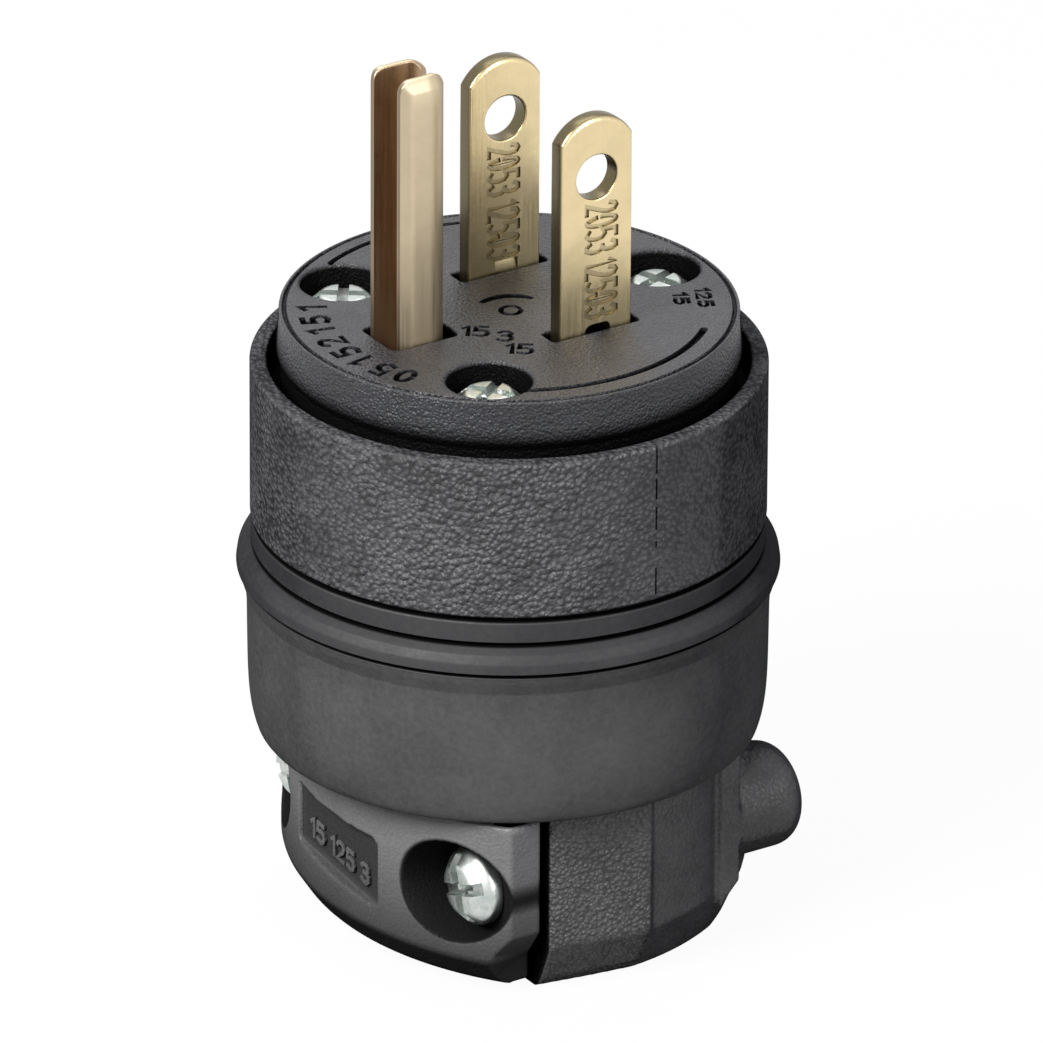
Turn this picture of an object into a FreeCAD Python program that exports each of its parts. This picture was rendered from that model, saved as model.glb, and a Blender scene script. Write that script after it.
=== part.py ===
import FreeCAD, Part
import math
import os
import Sketcher

# A rewireable mains plug with two flat blades and a U-section earth pin.
# Frame: the origin is the centre of the mating face, +Z runs out along the blades,
# +X runs from the earth pin towards the blades, and +Y is the live side.
# The body goes down -Z and ends in a two-part cord clamp.

doc = FreeCAD.newDocument("TypeBPlug")
sheet = doc.addObject("Spreadsheet::Sheet", "Dimensions")

SIZES = [
    # clearances
    ("slide_fit", 0.10, "contacts in the carrier, radial or per side"),
    ("seat_fit", 0.20, "round parts dropped into the shell, radial"),
    ("sleeve_fit", 0.05, "rubber grip on the shell, radial"),
    ("screw_clear", 0.25, "screw shanks in plain holes, radial"),
    ("thread_fit", 0.05, "screw shanks in tapped holes, radial"),
    # contacts
    ("blade_x", 3.14, "centre line of the blades"),
    ("blade_y", 6.35, "half the blade spacing"),
    ("blade_width", 6.35, "blade width"),
    ("blade_thick", 1.52, "blade thickness"),
    ("blade_length", 17.4, "blade tip above the face"),
    ("blade_tip_ease", 0.425, "tip rounding over half the blade width"),
    ("blade_hole", 1.78, "radius of the blade hole"),
    ("blade_hole_drop", 4.9, "blade hole below the tip"),
    ("tab_thick", 1.2, "terminal tab thickness"),
    ("tab_taper", 2.0, "length of the narrowing end of a tab"),
    ("tab_end_width", 4.0, "width of the tab at its end"),
    ("terminal_reach", 4.05, "terminal screw from the blade's centre plane"),
    ("rest_clear", 0.2, "air between a terminal screw head and the rest beside it"),
    ("rest_lap", 0.75, "how far a tab lies on its rest"),
    ("earth_gap", 11.9, "earth pin centre from the blades' centre line"),
    ("earth_radius", 2.2, "outer radius of the U section"),
    ("earth_wall", 0.85, "wall of the U section"),
    ("earth_depth", 4.9, "depth of the U from its web to its open side"),
    ("earth_length", 21.4, "earth pin tip above the face"),
    ("earth_nose", 0.9, "rounding of the leaf tips at their corners"),
    ("earth_ease_rise", 1.1, "height of the bevel outside the leaf tips"),
    ("earth_ease_in", 0.42, "depth of that bevel"),
    ("earth_web_drop", 2.3, "how far the web stops below the leaf tips"),
    ("earth_leaf_clear", 0.8, "lower end of the leaves above the screw tip between them"),
    ("earth_screw_set", 3.99, "earth terminal screw from the back of the web"),
    ("terminal_shank", 1.7, "terminal screw shank radius"),
    ("terminal_length", 5.4, "terminal screw shank length"),
    ("earth_screw_short", 1.0, "how much shorter the earth terminal screw is"),
    ("terminal_head", 2.9, "terminal screw head radius"),
    ("terminal_head_rise", 1.9, "terminal screw head height"),
    ("plate_inset", 0.05, "wire plate inside the edge of the screw head"),
    ("plate_thick", 0.9, "wire plate thickness"),
    ("tip_room", 0.1, "room above a terminal screw tip in the carrier"),
    # radii of the body, from the tabs outwards
    ("tab_room", 1.15, "air between the furthest tab and the chamber wall"),
    ("shell_wall", 1.6, "shell wall under the grip"),
    ("ring_step", 2.5, "how far the textured ring stands out from that wall"),
    ("ring_wall", 1.3, "wall of the ring round the face"),
    ("ring_gap", 0.7, "air between the face flange and the ring"),
    ("flange_flare", 0.2, "how much wider the flange is at its foot"),
    ("neck_in", 0.6, "neck inside the foot of the flange"),
    ("edge_break", 0.35, "small bevel round the face"),
    ("slot_side", 0.20, "air beside a contact in the face, thickness way"),
    ("slot_end", 0.9, "air beside a blade in the face, width way"),
    ("earth_slot_end", 0.45, "air at the ends of the earth slot in the face"),
    # heights of the body, from the face downwards
    ("flange_height", 3.35, "height of the face flange"),
    ("ring_drop", 0.7, "top of the textured ring below the flange"),
    ("ring_height", 12.65, "height of the ring, down to the rubber grip"),
    ("face_depth", 7.0, "back of the face part"),
    ("carrier_rim", 2.0, "thickness of the carrier's rim, on the ledge of the shell"),
    ("carrier_step", 3.5, "height of the carrier's lower step"),
    ("floor_top", 31.9, "floor of the wiring chamber below the face"),
    ("floor_thick", 2.0, "thickness of that floor"),
    # assembly screws
    ("screw_angle", 129.0, "angle of the two screws beside the earth pin"),
    ("assembly_head", 2.75, "head radius"),
    ("assembly_head_rise", 2.0, "head height"),
    ("assembly_shank", 1.55, "shank radius"),
    ("assembly_length", 19.5, "shank length"),
    ("well_room", 0.45, "air round a head in its counterbore"),
    ("well_depth", 2.9, "depth of the counterbore"),
    ("post_wall", 1.85, "wall of the screw posts"),
    ("post_inset", 0.4, "posts inside the outer face of the shell wall"),
    ("post_gap", 0.1, "air between the posts and the carrier"),
    ("post_spare", 3.6, "depth of a post's bore past the screw tip"),
    ("rest_half", 1.8, "half width of a rest"),
    ("rest_drop", 4.0, "height of a rest"),
    ("rest_inset", 0.8, "rests inside the outer face of the shell wall"),
    # rubber grip: walls outside its bore, and heights from the ring downwards
    ("lip_wall", 2.4, "wall at the top edge of the lip"),
    ("lip_foot_wall", 2.25, "wall at the lower edge of the lip"),
    ("swell_wall", 3.05, "wall half way from the lip to the widest band"),
    ("rim_top_wall", 3.4, "wall at the start of the widest band"),
    ("rim_foot_wall", 3.52, "wall at the sharp lower edge of that band"),
    ("waist_wall", 2.95, "wall at the foot of the step below the band"),
    ("cup_mid_wall", 2.8, "wall at the top of the tapered cup"),
    ("cup_low_wall", 2.45, "wall at the foot of the tapered cup"),
    ("lip_height", 1.3, "height of the lip"),
    ("swell_height", 1.3, "from the lip to the widest band"),
    ("rim_height", 1.55, "height of the widest band"),
    ("waist_height", 1.55, "height of the step below the band"),
    ("shoulder_height", 2.1, "from that step to the tapered cup"),
    ("cup_foot_rise", 2.9, "foot of the taper above the foot of the grip"),
    ("cup_round", 1.2, "rounding at the foot of the grip"),
    # cord clamp, fixed half
    ("clamp_step", 0.8, "edge of the fixed half's side facets outside the shell wall"),
    ("clamp_height", 15.4, "height of the clamp below the chamber floor"),
    ("flank_in", 0.35, "round flank of the fixed half behind that edge"),
    ("facet_end", 1.55, "edge between the side facets and the flank, from the middle"),
    ("facet_in", 1.6, "depth of the side facets at the split"),
    ("clamp_bevel_rise", 4.3, "height of its bottom bevel"),
    ("clamp_bevel_in", 2.0, "depth of that bevel"),
    ("split_x", 6.5, "face of the fixed half towards the saddle"),
    ("block_x", 10.7, "far face of the fixed half"),
    ("block_thick", 1.8, "thickness of the far block's ends beside the flank"),
    ("block_side", 4.0, "far block past the line of the clamp screws"),
    ("block_height", 11.6, "height of the far block"),
    ("block_bevel_rise", 1.45, "slope of the far block's lower side"),
    ("boss_wall", 1.4, "wall of the screw bosses"),
    ("boss_rise", 6.1, "bosses out of the far block"),
    ("boss_lift", 0.5, "centre of a boss above its screw"),
    ("boss_round", 1.9, "rounding of the boss ends"),
    ("boss_cap", 2.6, "end of a boss past its insert"),
    ("trough_radius", 5.6, "cord trough and cord hole"),
    # cord clamp, saddle
    ("saddle_gap", 0.8, "gap between the two clamp halves"),
    ("saddle_drop", 0.5, "top of the saddle below the chamber floor"),
    ("saddle_height", 14.0, "height of the saddle"),
    ("saddle_side", 0.1, "end of the saddle past the wells"),
    ("saddle_bow", 8.5, "thickness of the saddle in the middle"),
    ("saddle_arc", 25.1, "radius of its outer face"),
    ("saddle_bevel_rise", 2.25, "height of its bottom bevel"),
    ("saddle_bevel_in", 1.6, "depth of that bevel"),
    ("saddle_ear_rise", 2.34, "upright part below the cut corners at its ends"),
    ("saddle_ear_height", 2.32, "height of the cut corners"),
    ("saddle_ear_in", 1.65, "depth of the cut corners"),
    ("tongue_reach", 5.2, "how far the saddle's tongue enters the trough"),
    ("tongue_side", 0.5, "air beside the tongue"),
    ("panel_half", 5.4, "half width of the recessed panel"),
    ("panel_drop", 3.6, "top of the panel below the top of the saddle"),
    ("panel_height", 4.8, "height of the panel"),
    ("panel_depth", 0.8, "depth of the panel in the middle"),
    # clamp screws
    ("clamp_screw_y", 12.0, "clamp screws from the middle"),
    ("clamp_screw_drop", 6.75, "clamp screws below the chamber floor"),
    ("clamp_seat", 2.5, "saddle under the heads"),
    ("clamp_head", 3.05, "head radius"),
    ("clamp_head_room", 1.0, "air round a head in its well"),
    ("clamp_head_rise", 2.3, "head height"),
    ("clamp_shank", 1.75, "shank radius"),
    ("clamp_tip_short", 0.8, "screw tip short of the end of its insert"),
    ("insert_wall", 0.95, "wall of a threaded insert"),
    ("insert_length", 6.5, "insert length"),
]
for row, (name, value, note) in enumerate(SIZES, 1):
    sheet.set("A%d" % row, name)
    sheet.set("B%d" % row, str(value))
    sheet.set("C%d" % row, note)
    sheet.setAlias("B%d" % row, name)
doc.recompute()


class Size:
    """A length that knows its value and the sheet expression that it comes from."""

    def __init__(self, value, text):
        self.value, self.text = value, text

    @staticmethod
    def of(other):
        return other if isinstance(other, Size) else Size(float(other), repr(float(other)))

    def __add__(self, other):
        other = Size.of(other)
        return Size(self.value + other.value, "(%s + %s)" % (self.text, other.text))

    def __sub__(self, other):
        other = Size.of(other)
        return Size(self.value - other.value, "(%s - %s)" % (self.text, other.text))

    def __mul__(self, other):
        other = Size.of(other)
        return Size(self.value * other.value, "(%s * %s)" % (self.text, other.text))

    def __truediv__(self, other):
        other = Size.of(other)
        return Size(self.value / other.value, "(%s / %s)" % (self.text, other.text))

    def __neg__(self):
        return Size(-self.value, "(-1 * %s)" % self.text)

    def or_more(self, other):
        return Size(max(self.value, other.value), "max(%s; %s)" % (self.text, other.text))

    def cos(self):
        return Size(math.cos(math.radians(self.value)), "cos(%s * 1 deg)" % self.text)

    def sin(self):
        return Size(math.sin(math.radians(self.value)), "sin(%s * 1 deg)" % self.text)


class Dimensions:
    """Reads the sheet: face_radius is the cell with that alias."""

    def __getattr__(self, alias):
        return Size(float(getattr(sheet, alias)), "Dimensions." + alias)


d = Dimensions()


def bind(thing, prop, size):
    thing.setExpression(prop, Size.of(size).text)


def new_body(name, x=0, y=0, z=0, axis=(0, 0, 1), angle=0):
    body = doc.addObject("PartDesign::Body", name)
    body.Label = name
    body.Placement = FreeCAD.Placement(FreeCAD.Vector(0, 0, 0),
                                       FreeCAD.Rotation(FreeCAD.Vector(*axis), angle))
    for key, size in (("x", x), ("y", y), ("z", z)):
        bind(body, "Placement.Base." + key, size)
    return body


def new_sketch(body, name, plane, offset=0):
    sketch = body.newObject("Sketcher::SketchObject", name)
    origin = [f for f in body.Origin.OriginFeatures if f.Role == plane][0]
    sketch.AttachmentSupport = [(origin, "")]
    sketch.MapMode = "FlatFace"
    bind(sketch, "AttachmentOffset.Base.z", offset)
    return sketch


def pin_point(sketch, geo, pos, x=None, y=None):
    """Fixes a sketch point from the origin; a size of exactly 0 puts it on the axis."""
    for kind, axis, size in (("DistanceX", -2, x), ("DistanceY", -1, y)):
        if size is None:
            continue
        size = Size.of(size)
        if abs(size.value) < 1e-9:
            sketch.addConstraint(Sketcher.Constraint("PointOnObject", geo, pos, axis))
            continue
        index = sketch.addConstraint(Sketcher.Constraint(kind, -1, 1, geo, pos, size.value))
        sketch.setExpression("Constraints[%d]" % index, size.text)


def fix_radius(sketch, geo, radius):
    radius = Size.of(radius)
    index = sketch.addConstraint(Sketcher.Constraint("Radius", geo, radius.value))
    sketch.setExpression("Constraints[%d]" % index, radius.text)


def outline(sketch, points):
    """A closed outline of straight lines through points whose places are sizes."""
    spots = [FreeCAD.Vector(Size.of(x).value, Size.of(y).value, 0) for x, y in points]
    lines = [sketch.addGeometry(Part.LineSegment(a, b), False)
             for a, b in zip(spots, spots[1:] + spots[:1])]
    for line, after in zip(lines, lines[1:] + lines[:1]):
        sketch.addConstraint(Sketcher.Constraint("Coincident", line, 2, after, 1))
    for line, (x, y) in zip(lines, points):
        pin_point(sketch, line, 1, x, y)


def box_outline(sketch, x_low, x_high, y_low, y_high):
    outline(sketch, [(x_low, y_low), (x_high, y_low), (x_high, y_high), (x_low, y_high)])


def circle(sketch, x, y, radius):
    centre = FreeCAD.Vector(Size.of(x).value, Size.of(y).value, 0)
    normal = FreeCAD.Vector(0, 0, 1)
    geo = sketch.addGeometry(Part.Circle(centre, normal, Size.of(radius).value), False)
    pin_point(sketch, geo, 3, x, y)
    fix_radius(sketch, geo, radius)


def half_circle(sketch, x, radius):
    """The half circle round (x, 0) that faces +x, ends tied to x."""
    centre = FreeCAD.Vector(x.value, 0, 0)
    round_part = Part.Circle(centre, FreeCAD.Vector(0, 0, 1), radius.value)
    geo = sketch.addGeometry(Part.ArcOfCircle(round_part, -math.pi / 2, math.pi / 2), False)
    pin_point(sketch, geo, 3, x, 0)
    fix_radius(sketch, geo, radius)
    pin_point(sketch, geo, 1, x)
    pin_point(sketch, geo, 2, x)
    return geo


def feature(body, kind, name, sketch, length=None, reverse=False, both=False, through=False):
    made = body.newObject("PartDesign::" + kind, name)
    made.Profile = sketch
    if kind in ("Pad", "Pocket"):
        if through:
            made.Type = "ThroughAll"
        else:
            bind(made, "Length", length)
        made.Reversed = reverse
        if both:
            made.SideType = "Symmetric"
    else:
        made.ReferenceAxis = (sketch, ["V_Axis"])
        made.Angle = 360
    doc.recompute()
    return made


def turned(body, name, profile):
    """A turned shape round the body's own Z axis, from (radius, height) points."""
    sketch = new_sketch(body, name + "_profile", "XZ_Plane")
    outline(sketch, profile)
    return feature(body, "Revolution", name, sketch)


# Depths of the face part and the carrier, and the contacts that they hold.
ledge_depth = d.face_depth + d.carrier_rim
carrier_depth = ledge_depth + d.carrier_step
tab_foot = carrier_depth + d.tab_thick
plate_foot = tab_foot + d.plate_thick
blade_half = d.blade_width / 2
thick_half = d.blade_thick / 2
blade_tip_radius = blade_half + d.blade_tip_ease
earth_open = -(d.earth_gap - d.blade_x + d.earth_depth / 2)
earth_web = earth_open + d.earth_depth
earth_turn = earth_web - d.earth_radius
earth_ease_x = earth_open + d.earth_nose
earth_screw_x = d.earth_screw_set - earth_web
earth_screw_length = d.terminal_length - d.earth_screw_short
earth_leaf_foot = plate_foot - earth_screw_length - d.earth_leaf_clear
terminal_y = d.blade_y + d.terminal_reach
terminal_bore_depth = d.terminal_length - d.tab_thick - d.plate_thick + d.tip_room
rest_y = terminal_y + d.terminal_head + d.rest_clear
rest_x = earth_screw_x + d.terminal_head + d.rest_clear
tab_reach = rest_y + d.rest_lap - d.blade_y
earth_tab_x = rest_x + d.rest_lap

# Radii of the body: the chamber clears the furthest tab, and the rest stands round it.
chamber_radius = (rest_y + d.rest_lap).or_more(earth_tab_x) + d.tab_room
sleeve_radius = chamber_radius + d.shell_wall
ring_radius = sleeve_radius + d.ring_step
ring_bore = ring_radius - d.ring_wall
flange_radius = ring_bore - d.ring_gap
face_radius = flange_radius - d.flange_flare
neck_radius = flange_radius - d.neck_in
plug_radius = chamber_radius - d.seat_fit
clamp_radius = sleeve_radius + d.clamp_step
flank_radius = clamp_radius - d.flank_in
facet_side = clamp_radius - d.facet_in

# Heights of the body.
ring_top = d.flange_height + d.ring_drop
ring_foot = ring_top + d.ring_height
floor_foot = d.floor_top + d.floor_thick

# Where the three assembly screws stand.
post_radius = d.assembly_shank + d.post_wall
well_radius = d.assembly_head + d.well_room
post_bore = d.well_depth + d.assembly_length + d.post_spare - carrier_depth
screw_circle = sleeve_radius - d.post_inset - post_radius
screw_places = [("right", screw_circle, Size.of(0)),
                ("front", screw_circle * d.screw_angle.cos(),
                 -(screw_circle * d.screw_angle.sin())),
                ("back", screw_circle * d.screw_angle.cos(),
                 screw_circle * d.screw_angle.sin())]

# Cord clamp: its screws run from the saddle through the split into inserts in the bosses.
clamp_foot = floor_foot + d.clamp_height
clamp_bevel_top = clamp_foot - d.clamp_bevel_rise
clamp_screw_z = floor_foot + d.clamp_screw_drop
clamp_well = d.clamp_head + d.clamp_head_room
saddle_inner = -(d.split_x + d.saddle_gap)
clamp_well_floor = d.clamp_seat - saddle_inner
block_half = d.clamp_screw_y + d.block_side
block_foot = floor_foot + d.block_height
block_bevel_top = block_foot - d.block_bevel_rise
boss_z = clamp_screw_z - d.boss_lift
boss_end = d.block_x + d.boss_rise
insert_radius = d.clamp_shank + d.insert_wall
insert_end = boss_end - d.boss_cap
boss_radius = insert_radius + d.boss_wall
clamp_length = clamp_well_floor + insert_end - d.clamp_tip_short
saddle_top = floor_foot + d.saddle_drop
saddle_foot = saddle_top + d.saddle_height
saddle_half = d.clamp_screw_y + clamp_well + d.saddle_side
saddle_out = saddle_inner - d.saddle_bow
saddle_arc_x = saddle_out + d.saddle_arc
saddle_bevel_top = saddle_foot - d.saddle_bevel_rise
saddle_ear_foot = saddle_foot - d.saddle_ear_rise
saddle_ear_top = saddle_ear_foot - d.saddle_ear_height
panel_top = saddle_top + d.panel_drop
panel_foot = panel_top + d.panel_height


# Mating face: a flared flange on a neck, with slots for the contacts.
face = new_body("front_face")
turned(face, "FaceDisc", [
    (0, 0), (face_radius - d.edge_break, 0), (face_radius, -d.edge_break),
    (flange_radius, -d.flange_height), (neck_radius, -d.flange_height),
    (neck_radius, -d.face_depth), (0, -d.face_depth)])
slots = new_sketch(face, "ContactSlots", "XY_Plane")
slot_half = blade_half + d.slot_end
slot_thick = thick_half + d.slot_side
for y in (d.blade_y, -d.blade_y):
    box_outline(slots, d.blade_x - slot_half, d.blade_x + slot_half, y - slot_thick, y + slot_thick)
earth_side = d.earth_radius + d.slot_side
box_outline(slots, earth_open - d.earth_slot_end, earth_web + d.earth_slot_end,
            -earth_side, earth_side)
feature(face, "Pocket", "SlotCut", slots, through=True)
wells = new_sketch(face, "ScrewWells", "XY_Plane")
for _, x, y in screw_places:
    circle(wells, x, y, well_radius)
feature(face, "Pocket", "WellCut", wells, d.well_depth)
holes = new_sketch(face, "ScrewHoles", "XY_Plane")
for _, x, y in screw_places:
    circle(holes, x, y, d.assembly_shank + d.screw_clear)
feature(face, "Pocket", "HoleCut", holes, through=True)


# Terminal carrier: the insulating disc that holds the three contacts.
carrier = new_body("terminal_carrier")
turned(carrier, "CarrierDisc", [
    (0, -d.face_depth), (ring_bore - d.seat_fit, -d.face_depth),
    (ring_bore - d.seat_fit, -ledge_depth), (plug_radius, -ledge_depth),
    (plug_radius, -carrier_depth), (0, -carrier_depth)])
slots = new_sketch(carrier, "ContactSlots", "XY_Plane", -d.face_depth)
slot_half = blade_half + d.slide_fit
slot_thick = thick_half + d.slide_fit
for y in (d.blade_y, -d.blade_y):
    box_outline(slots, d.blade_x - slot_half, d.blade_x + slot_half, y - slot_thick, y + slot_thick)
earth_side = d.earth_radius + d.slide_fit
box_outline(slots, earth_open - d.slide_fit, earth_web + d.slide_fit, -earth_side, earth_side)
feature(carrier, "Pocket", "SlotCut", slots, through=True)
holes = new_sketch(carrier, "ScrewHoles", "XY_Plane", -d.face_depth)
for _, x, y in screw_places:
    circle(holes, x, y, d.assembly_shank + d.screw_clear)
feature(carrier, "Pocket", "HoleCut", holes, through=True)
bores = new_sketch(carrier, "TerminalBores", "XY_Plane", -carrier_depth)
for y in (terminal_y, -terminal_y):
    circle(bores, d.blade_x, y, d.terminal_shank + d.screw_clear)
circle(bores, -earth_screw_x, 0, d.terminal_shank + d.screw_clear)
feature(carrier, "Pocket", "BoreCut", bores, terminal_bore_depth, reverse=True)


def line_contact(name, side, turn):
    """A flat blade whose foot is bent outwards into a terminal tab."""
    body = new_body(name, x=d.blade_x, y=d.blade_y * side, angle=turn)
    plan = new_sketch(body, "BladeOutline", "XZ_Plane")
    tip = d.blade_length - blade_tip_radius
    rise = math.sqrt(blade_tip_radius.value ** 2 - blade_half.value ** 2)
    corners = [FreeCAD.Vector(blade_half.value * a, b, 0) for a, b in (
        (-1, -tab_foot.value), (1, -tab_foot.value), (1, tip.value + rise), (-1, tip.value + rise))]
    foot = plan.addGeometry(Part.LineSegment(corners[0], corners[1]), False)
    right = plan.addGeometry(Part.LineSegment(corners[1], corners[2]), False)
    left = plan.addGeometry(Part.LineSegment(corners[3], corners[0]), False)
    arc = plan.addGeometry(Part.Arc(corners[2], FreeCAD.Vector(0, d.blade_length.value, 0),
                                    corners[3]), False)
    for one, end, other, start in ((foot, 2, right, 1), (right, 2, arc, 1), (arc, 2, left, 1),
                                   (left, 2, foot, 1)):
        plan.addConstraint(Sketcher.Constraint("Coincident", one, end, other, start))
    pin_point(plan, foot, 1, -blade_half, -tab_foot)
    pin_point(plan, foot, 2, blade_half, -tab_foot)
    pin_point(plan, right, 2, blade_half)
    pin_point(plan, left, 1, -blade_half)
    pin_point(plan, arc, 3, 0, tip)
    fix_radius(plan, arc, blade_tip_radius)
    feature(body, "Pad", "Blade", plan, d.blade_thick, both=True)
    tab = new_sketch(body, "TabOutline", "XY_Plane", -carrier_depth)
    end_half = d.tab_end_width / 2
    outline(tab, [(-blade_half, -thick_half), (blade_half, -thick_half),
                  (blade_half, tab_reach - d.tab_taper), (end_half, tab_reach),
                  (-end_half, tab_reach), (-blade_half, tab_reach - d.tab_taper)])
    feature(body, "Pad", "Tab", tab, d.tab_thick, reverse=True)
    eye = new_sketch(body, "BladeEye", "XZ_Plane")
    circle(eye, 0, d.blade_length - d.blade_hole_drop, d.blade_hole)
    feature(body, "Pocket", "EyeCut", eye, d.blade_thick * 2, both=True)
    tapped = new_sketch(body, "TappedHole", "XY_Plane", -carrier_depth)
    circle(tapped, 0, d.terminal_reach, d.terminal_shank + d.thread_fit)
    feature(body, "Pocket", "TapCut", tapped, d.tab_thick * 2)
    return body


live = line_contact("live_blade", 1, 0)
neutral = line_contact("neutral_blade", -1, 180)


# Earth pin: a U section, open away from the blades, whose web runs down into a tab.
earth = new_body("ground_pin")
section = new_sketch(earth, "USection", "XY_Plane", -carrier_depth)
inner_radius = d.earth_radius - d.earth_wall
outer_arc = half_circle(section, earth_turn, d.earth_radius)
inner_arc = half_circle(section, earth_turn, inner_radius)
for sign, end in ((-1, 1), (1, 2)):
    far, near = d.earth_radius * sign, inner_radius * sign
    eased = far - d.earth_ease_in * sign
    spots = [FreeCAD.Vector(x.value, y.value, 0) for x, y in (
        (earth_turn, far), (earth_ease_x, far), (earth_open, eased), (earth_open, near),
        (earth_turn, near))]
    legs = [section.addGeometry(Part.LineSegment(a, b), False) for a, b in zip(spots, spots[1:])]
    section.addConstraint(Sketcher.Constraint("Coincident", legs[0], 1, outer_arc, end))
    for leg, after in zip(legs, legs[1:]):
        section.addConstraint(Sketcher.Constraint("Coincident", leg, 2, after, 1))
    section.addConstraint(Sketcher.Constraint("Coincident", legs[3], 2, inner_arc, end))
    section.addConstraint(Sketcher.Constraint("Horizontal", legs[0]))
    section.addConstraint(Sketcher.Constraint("Horizontal", legs[3]))
    pin_point(section, legs[0], 2, earth_ease_x)
    pin_point(section, legs[1], 2, earth_open, eased)
    pin_point(section, legs[2], 2, earth_open)
feature(earth, "Pad", "Channel", section, d.earth_length + carrier_depth)
trim = new_sketch(earth, "EndTrim", "XZ_Plane")
nose = d.earth_nose
over = d.earth_length + 1
web_top = d.earth_length - d.earth_web_drop
web_start = earth_turn + d.earth_radius * 0.68
outline(trim, [(earth_open - 1, d.earth_length - nose), (earth_open, d.earth_length - nose),
               (earth_open + nose * 0.3, d.earth_length - nose * 0.3),
               (earth_open + nose, d.earth_length), (earth_open + nose, over),
               (earth_open - 1, over)])
outline(trim, [(web_start, web_top), (earth_web + 1, web_top), (earth_web + 1, over),
               (web_start - nose, over), (web_start - nose, d.earth_length),
               (web_start - nose * 0.3, d.earth_length - nose * 0.3),
               (web_start, d.earth_length - nose)])
outline(trim, [(earth_open - 1, -carrier_depth - 1), (earth_turn + 0.2, -carrier_depth - 1),
               (earth_turn + 0.2, -earth_leaf_foot), (earth_open - 1, -earth_leaf_foot)])
feature(earth, "Pocket", "TrimCut", trim, d.earth_radius * 4, both=True)
ease = new_sketch(earth, "TipEase", "YZ_Plane")
for sign in (1, -1):
    far = d.earth_radius * sign
    ease_foot = d.earth_length - d.earth_ease_rise
    outline(ease, [(far, ease_foot), (far + sign, ease_foot), (far + sign, over),
                   (far - d.earth_ease_in * sign, over),
                   (far - d.earth_ease_in * sign, d.earth_length)])
feature(earth, "Pocket", "EaseCut", ease, d.earth_gap * 2, both=True)
tab = new_sketch(earth, "TabOutline", "XY_Plane", -carrier_depth)
end_half = d.tab_end_width / 2
outline(tab, [(earth_web, -blade_half), (earth_web, blade_half),
              (d.tab_taper - earth_tab_x, blade_half), (-earth_tab_x, end_half),
              (-earth_tab_x, -end_half), (d.tab_taper - earth_tab_x, -blade_half)])
feature(earth, "Pad", "Tab", tab, d.tab_thick, reverse=True)
tapped = new_sketch(earth, "TappedHole", "XY_Plane", -carrier_depth)
circle(tapped, -earth_screw_x, 0, d.terminal_shank + d.thread_fit)
feature(earth, "Pocket", "TapCut", tapped, d.tab_thick * 2)


def screw(name, head, head_rise, shank, length, **place):
    """A pan head screw: seat at the origin, head along +Z."""
    body = new_body(name, **place)
    turned(body, "Screw", [
        (0, head_rise), (head * 0.65, head_rise), (head, head_rise * 0.5), (head, 0),
        (shank, 0), (shank, shank * 0.4 - length), (shank * 0.6, -length), (0, -length)])
    return body


assembly_screws = [
    screw("face_screw_" + name, d.assembly_head, d.assembly_head_rise, d.assembly_shank,
          d.assembly_length, x=x, y=y, z=-d.well_depth)
    for name, x, y in screw_places]
terminal_places = [("live", d.blade_x, terminal_y, d.terminal_length),
                   ("neutral", d.blade_x, -terminal_y, d.terminal_length),
                   ("ground", -earth_screw_x, Size.of(0), earth_screw_length)]
terminal_screws = [
    screw(name + "_screw", d.terminal_head, d.terminal_head_rise, d.terminal_shank, length,
          x=x, y=y, z=-plate_foot, axis=(1, 0, 0), angle=180)
    for name, x, y, length in terminal_places]


def wire_plate(name, x, y):
    body = new_body(name, x=x, y=y, z=-plate_foot)
    plan = new_sketch(body, "PlateOutline", "XY_Plane")
    side = d.terminal_head - d.plate_inset
    box_outline(plan, -side, side, -side, side)
    circle(plan, 0, 0, d.terminal_shank + d.screw_clear)
    feature(body, "Pad", "Plate", plan, d.plate_thick)
    return body


wire_plates = [wire_plate(name + "_plate", x, y) for name, x, y, _ in terminal_places]


# Shell: the textured ring, the wall under the grip, and the fixed half of the cord clamp.
shell = new_body("shell")
turned(shell, "Wall", [
    (ring_bore, -ring_top), (ring_radius, -ring_top), (ring_radius, -ring_foot),
    (sleeve_radius, -ring_foot), (sleeve_radius, -floor_foot),
    (d.trough_radius, -floor_foot), (d.trough_radius, -d.floor_top),
    (chamber_radius, -d.floor_top), (chamber_radius, -ledge_depth),
    (ring_bore, -ledge_depth)])
stub = new_sketch(shell, "ClampPlan", "XY_Plane", -floor_foot)
circle(stub, 0, 0, flank_radius)
feature(shell, "Pad", "ClampStub", stub, clamp_foot - floor_foot, reverse=True)
sides = new_sketch(shell, "ClampSides", "XY_Plane", -floor_foot)
facet_edge = clamp_radius * 0.996
outline(sides, [(-d.split_x, -facet_side), (d.facet_end, -facet_edge),
                (d.facet_end, facet_edge), (-d.split_x, facet_side)])
feature(shell, "Pad", "ClampSidePad", sides, clamp_foot - floor_foot, reverse=True)
facets = new_sketch(shell, "ClampFacets", "XY_Plane", -floor_foot)
beyond = clamp_radius * 2
for sign in (1, -1):
    outline(facets, [(-d.split_x, facet_side * sign), (d.facet_end, facet_edge * sign),
                     (d.facet_end, beyond * sign), (-d.split_x, beyond * sign)])
feature(shell, "Pocket", "FacetCut", facets, clamp_foot - floor_foot + 1)
bevel = new_sketch(shell, "ClampBevel", "XZ_Plane")
bevel_foot = clamp_radius - d.clamp_bevel_in
outline(bevel, [(clamp_radius, -clamp_bevel_top), (bevel_foot, -clamp_foot),
                (bevel_foot, -clamp_foot - 1), (clamp_radius + 1, -clamp_foot - 1),
                (clamp_radius + 1, -clamp_bevel_top)])
feature(shell, "Groove", "BevelCut", bevel)
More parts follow.
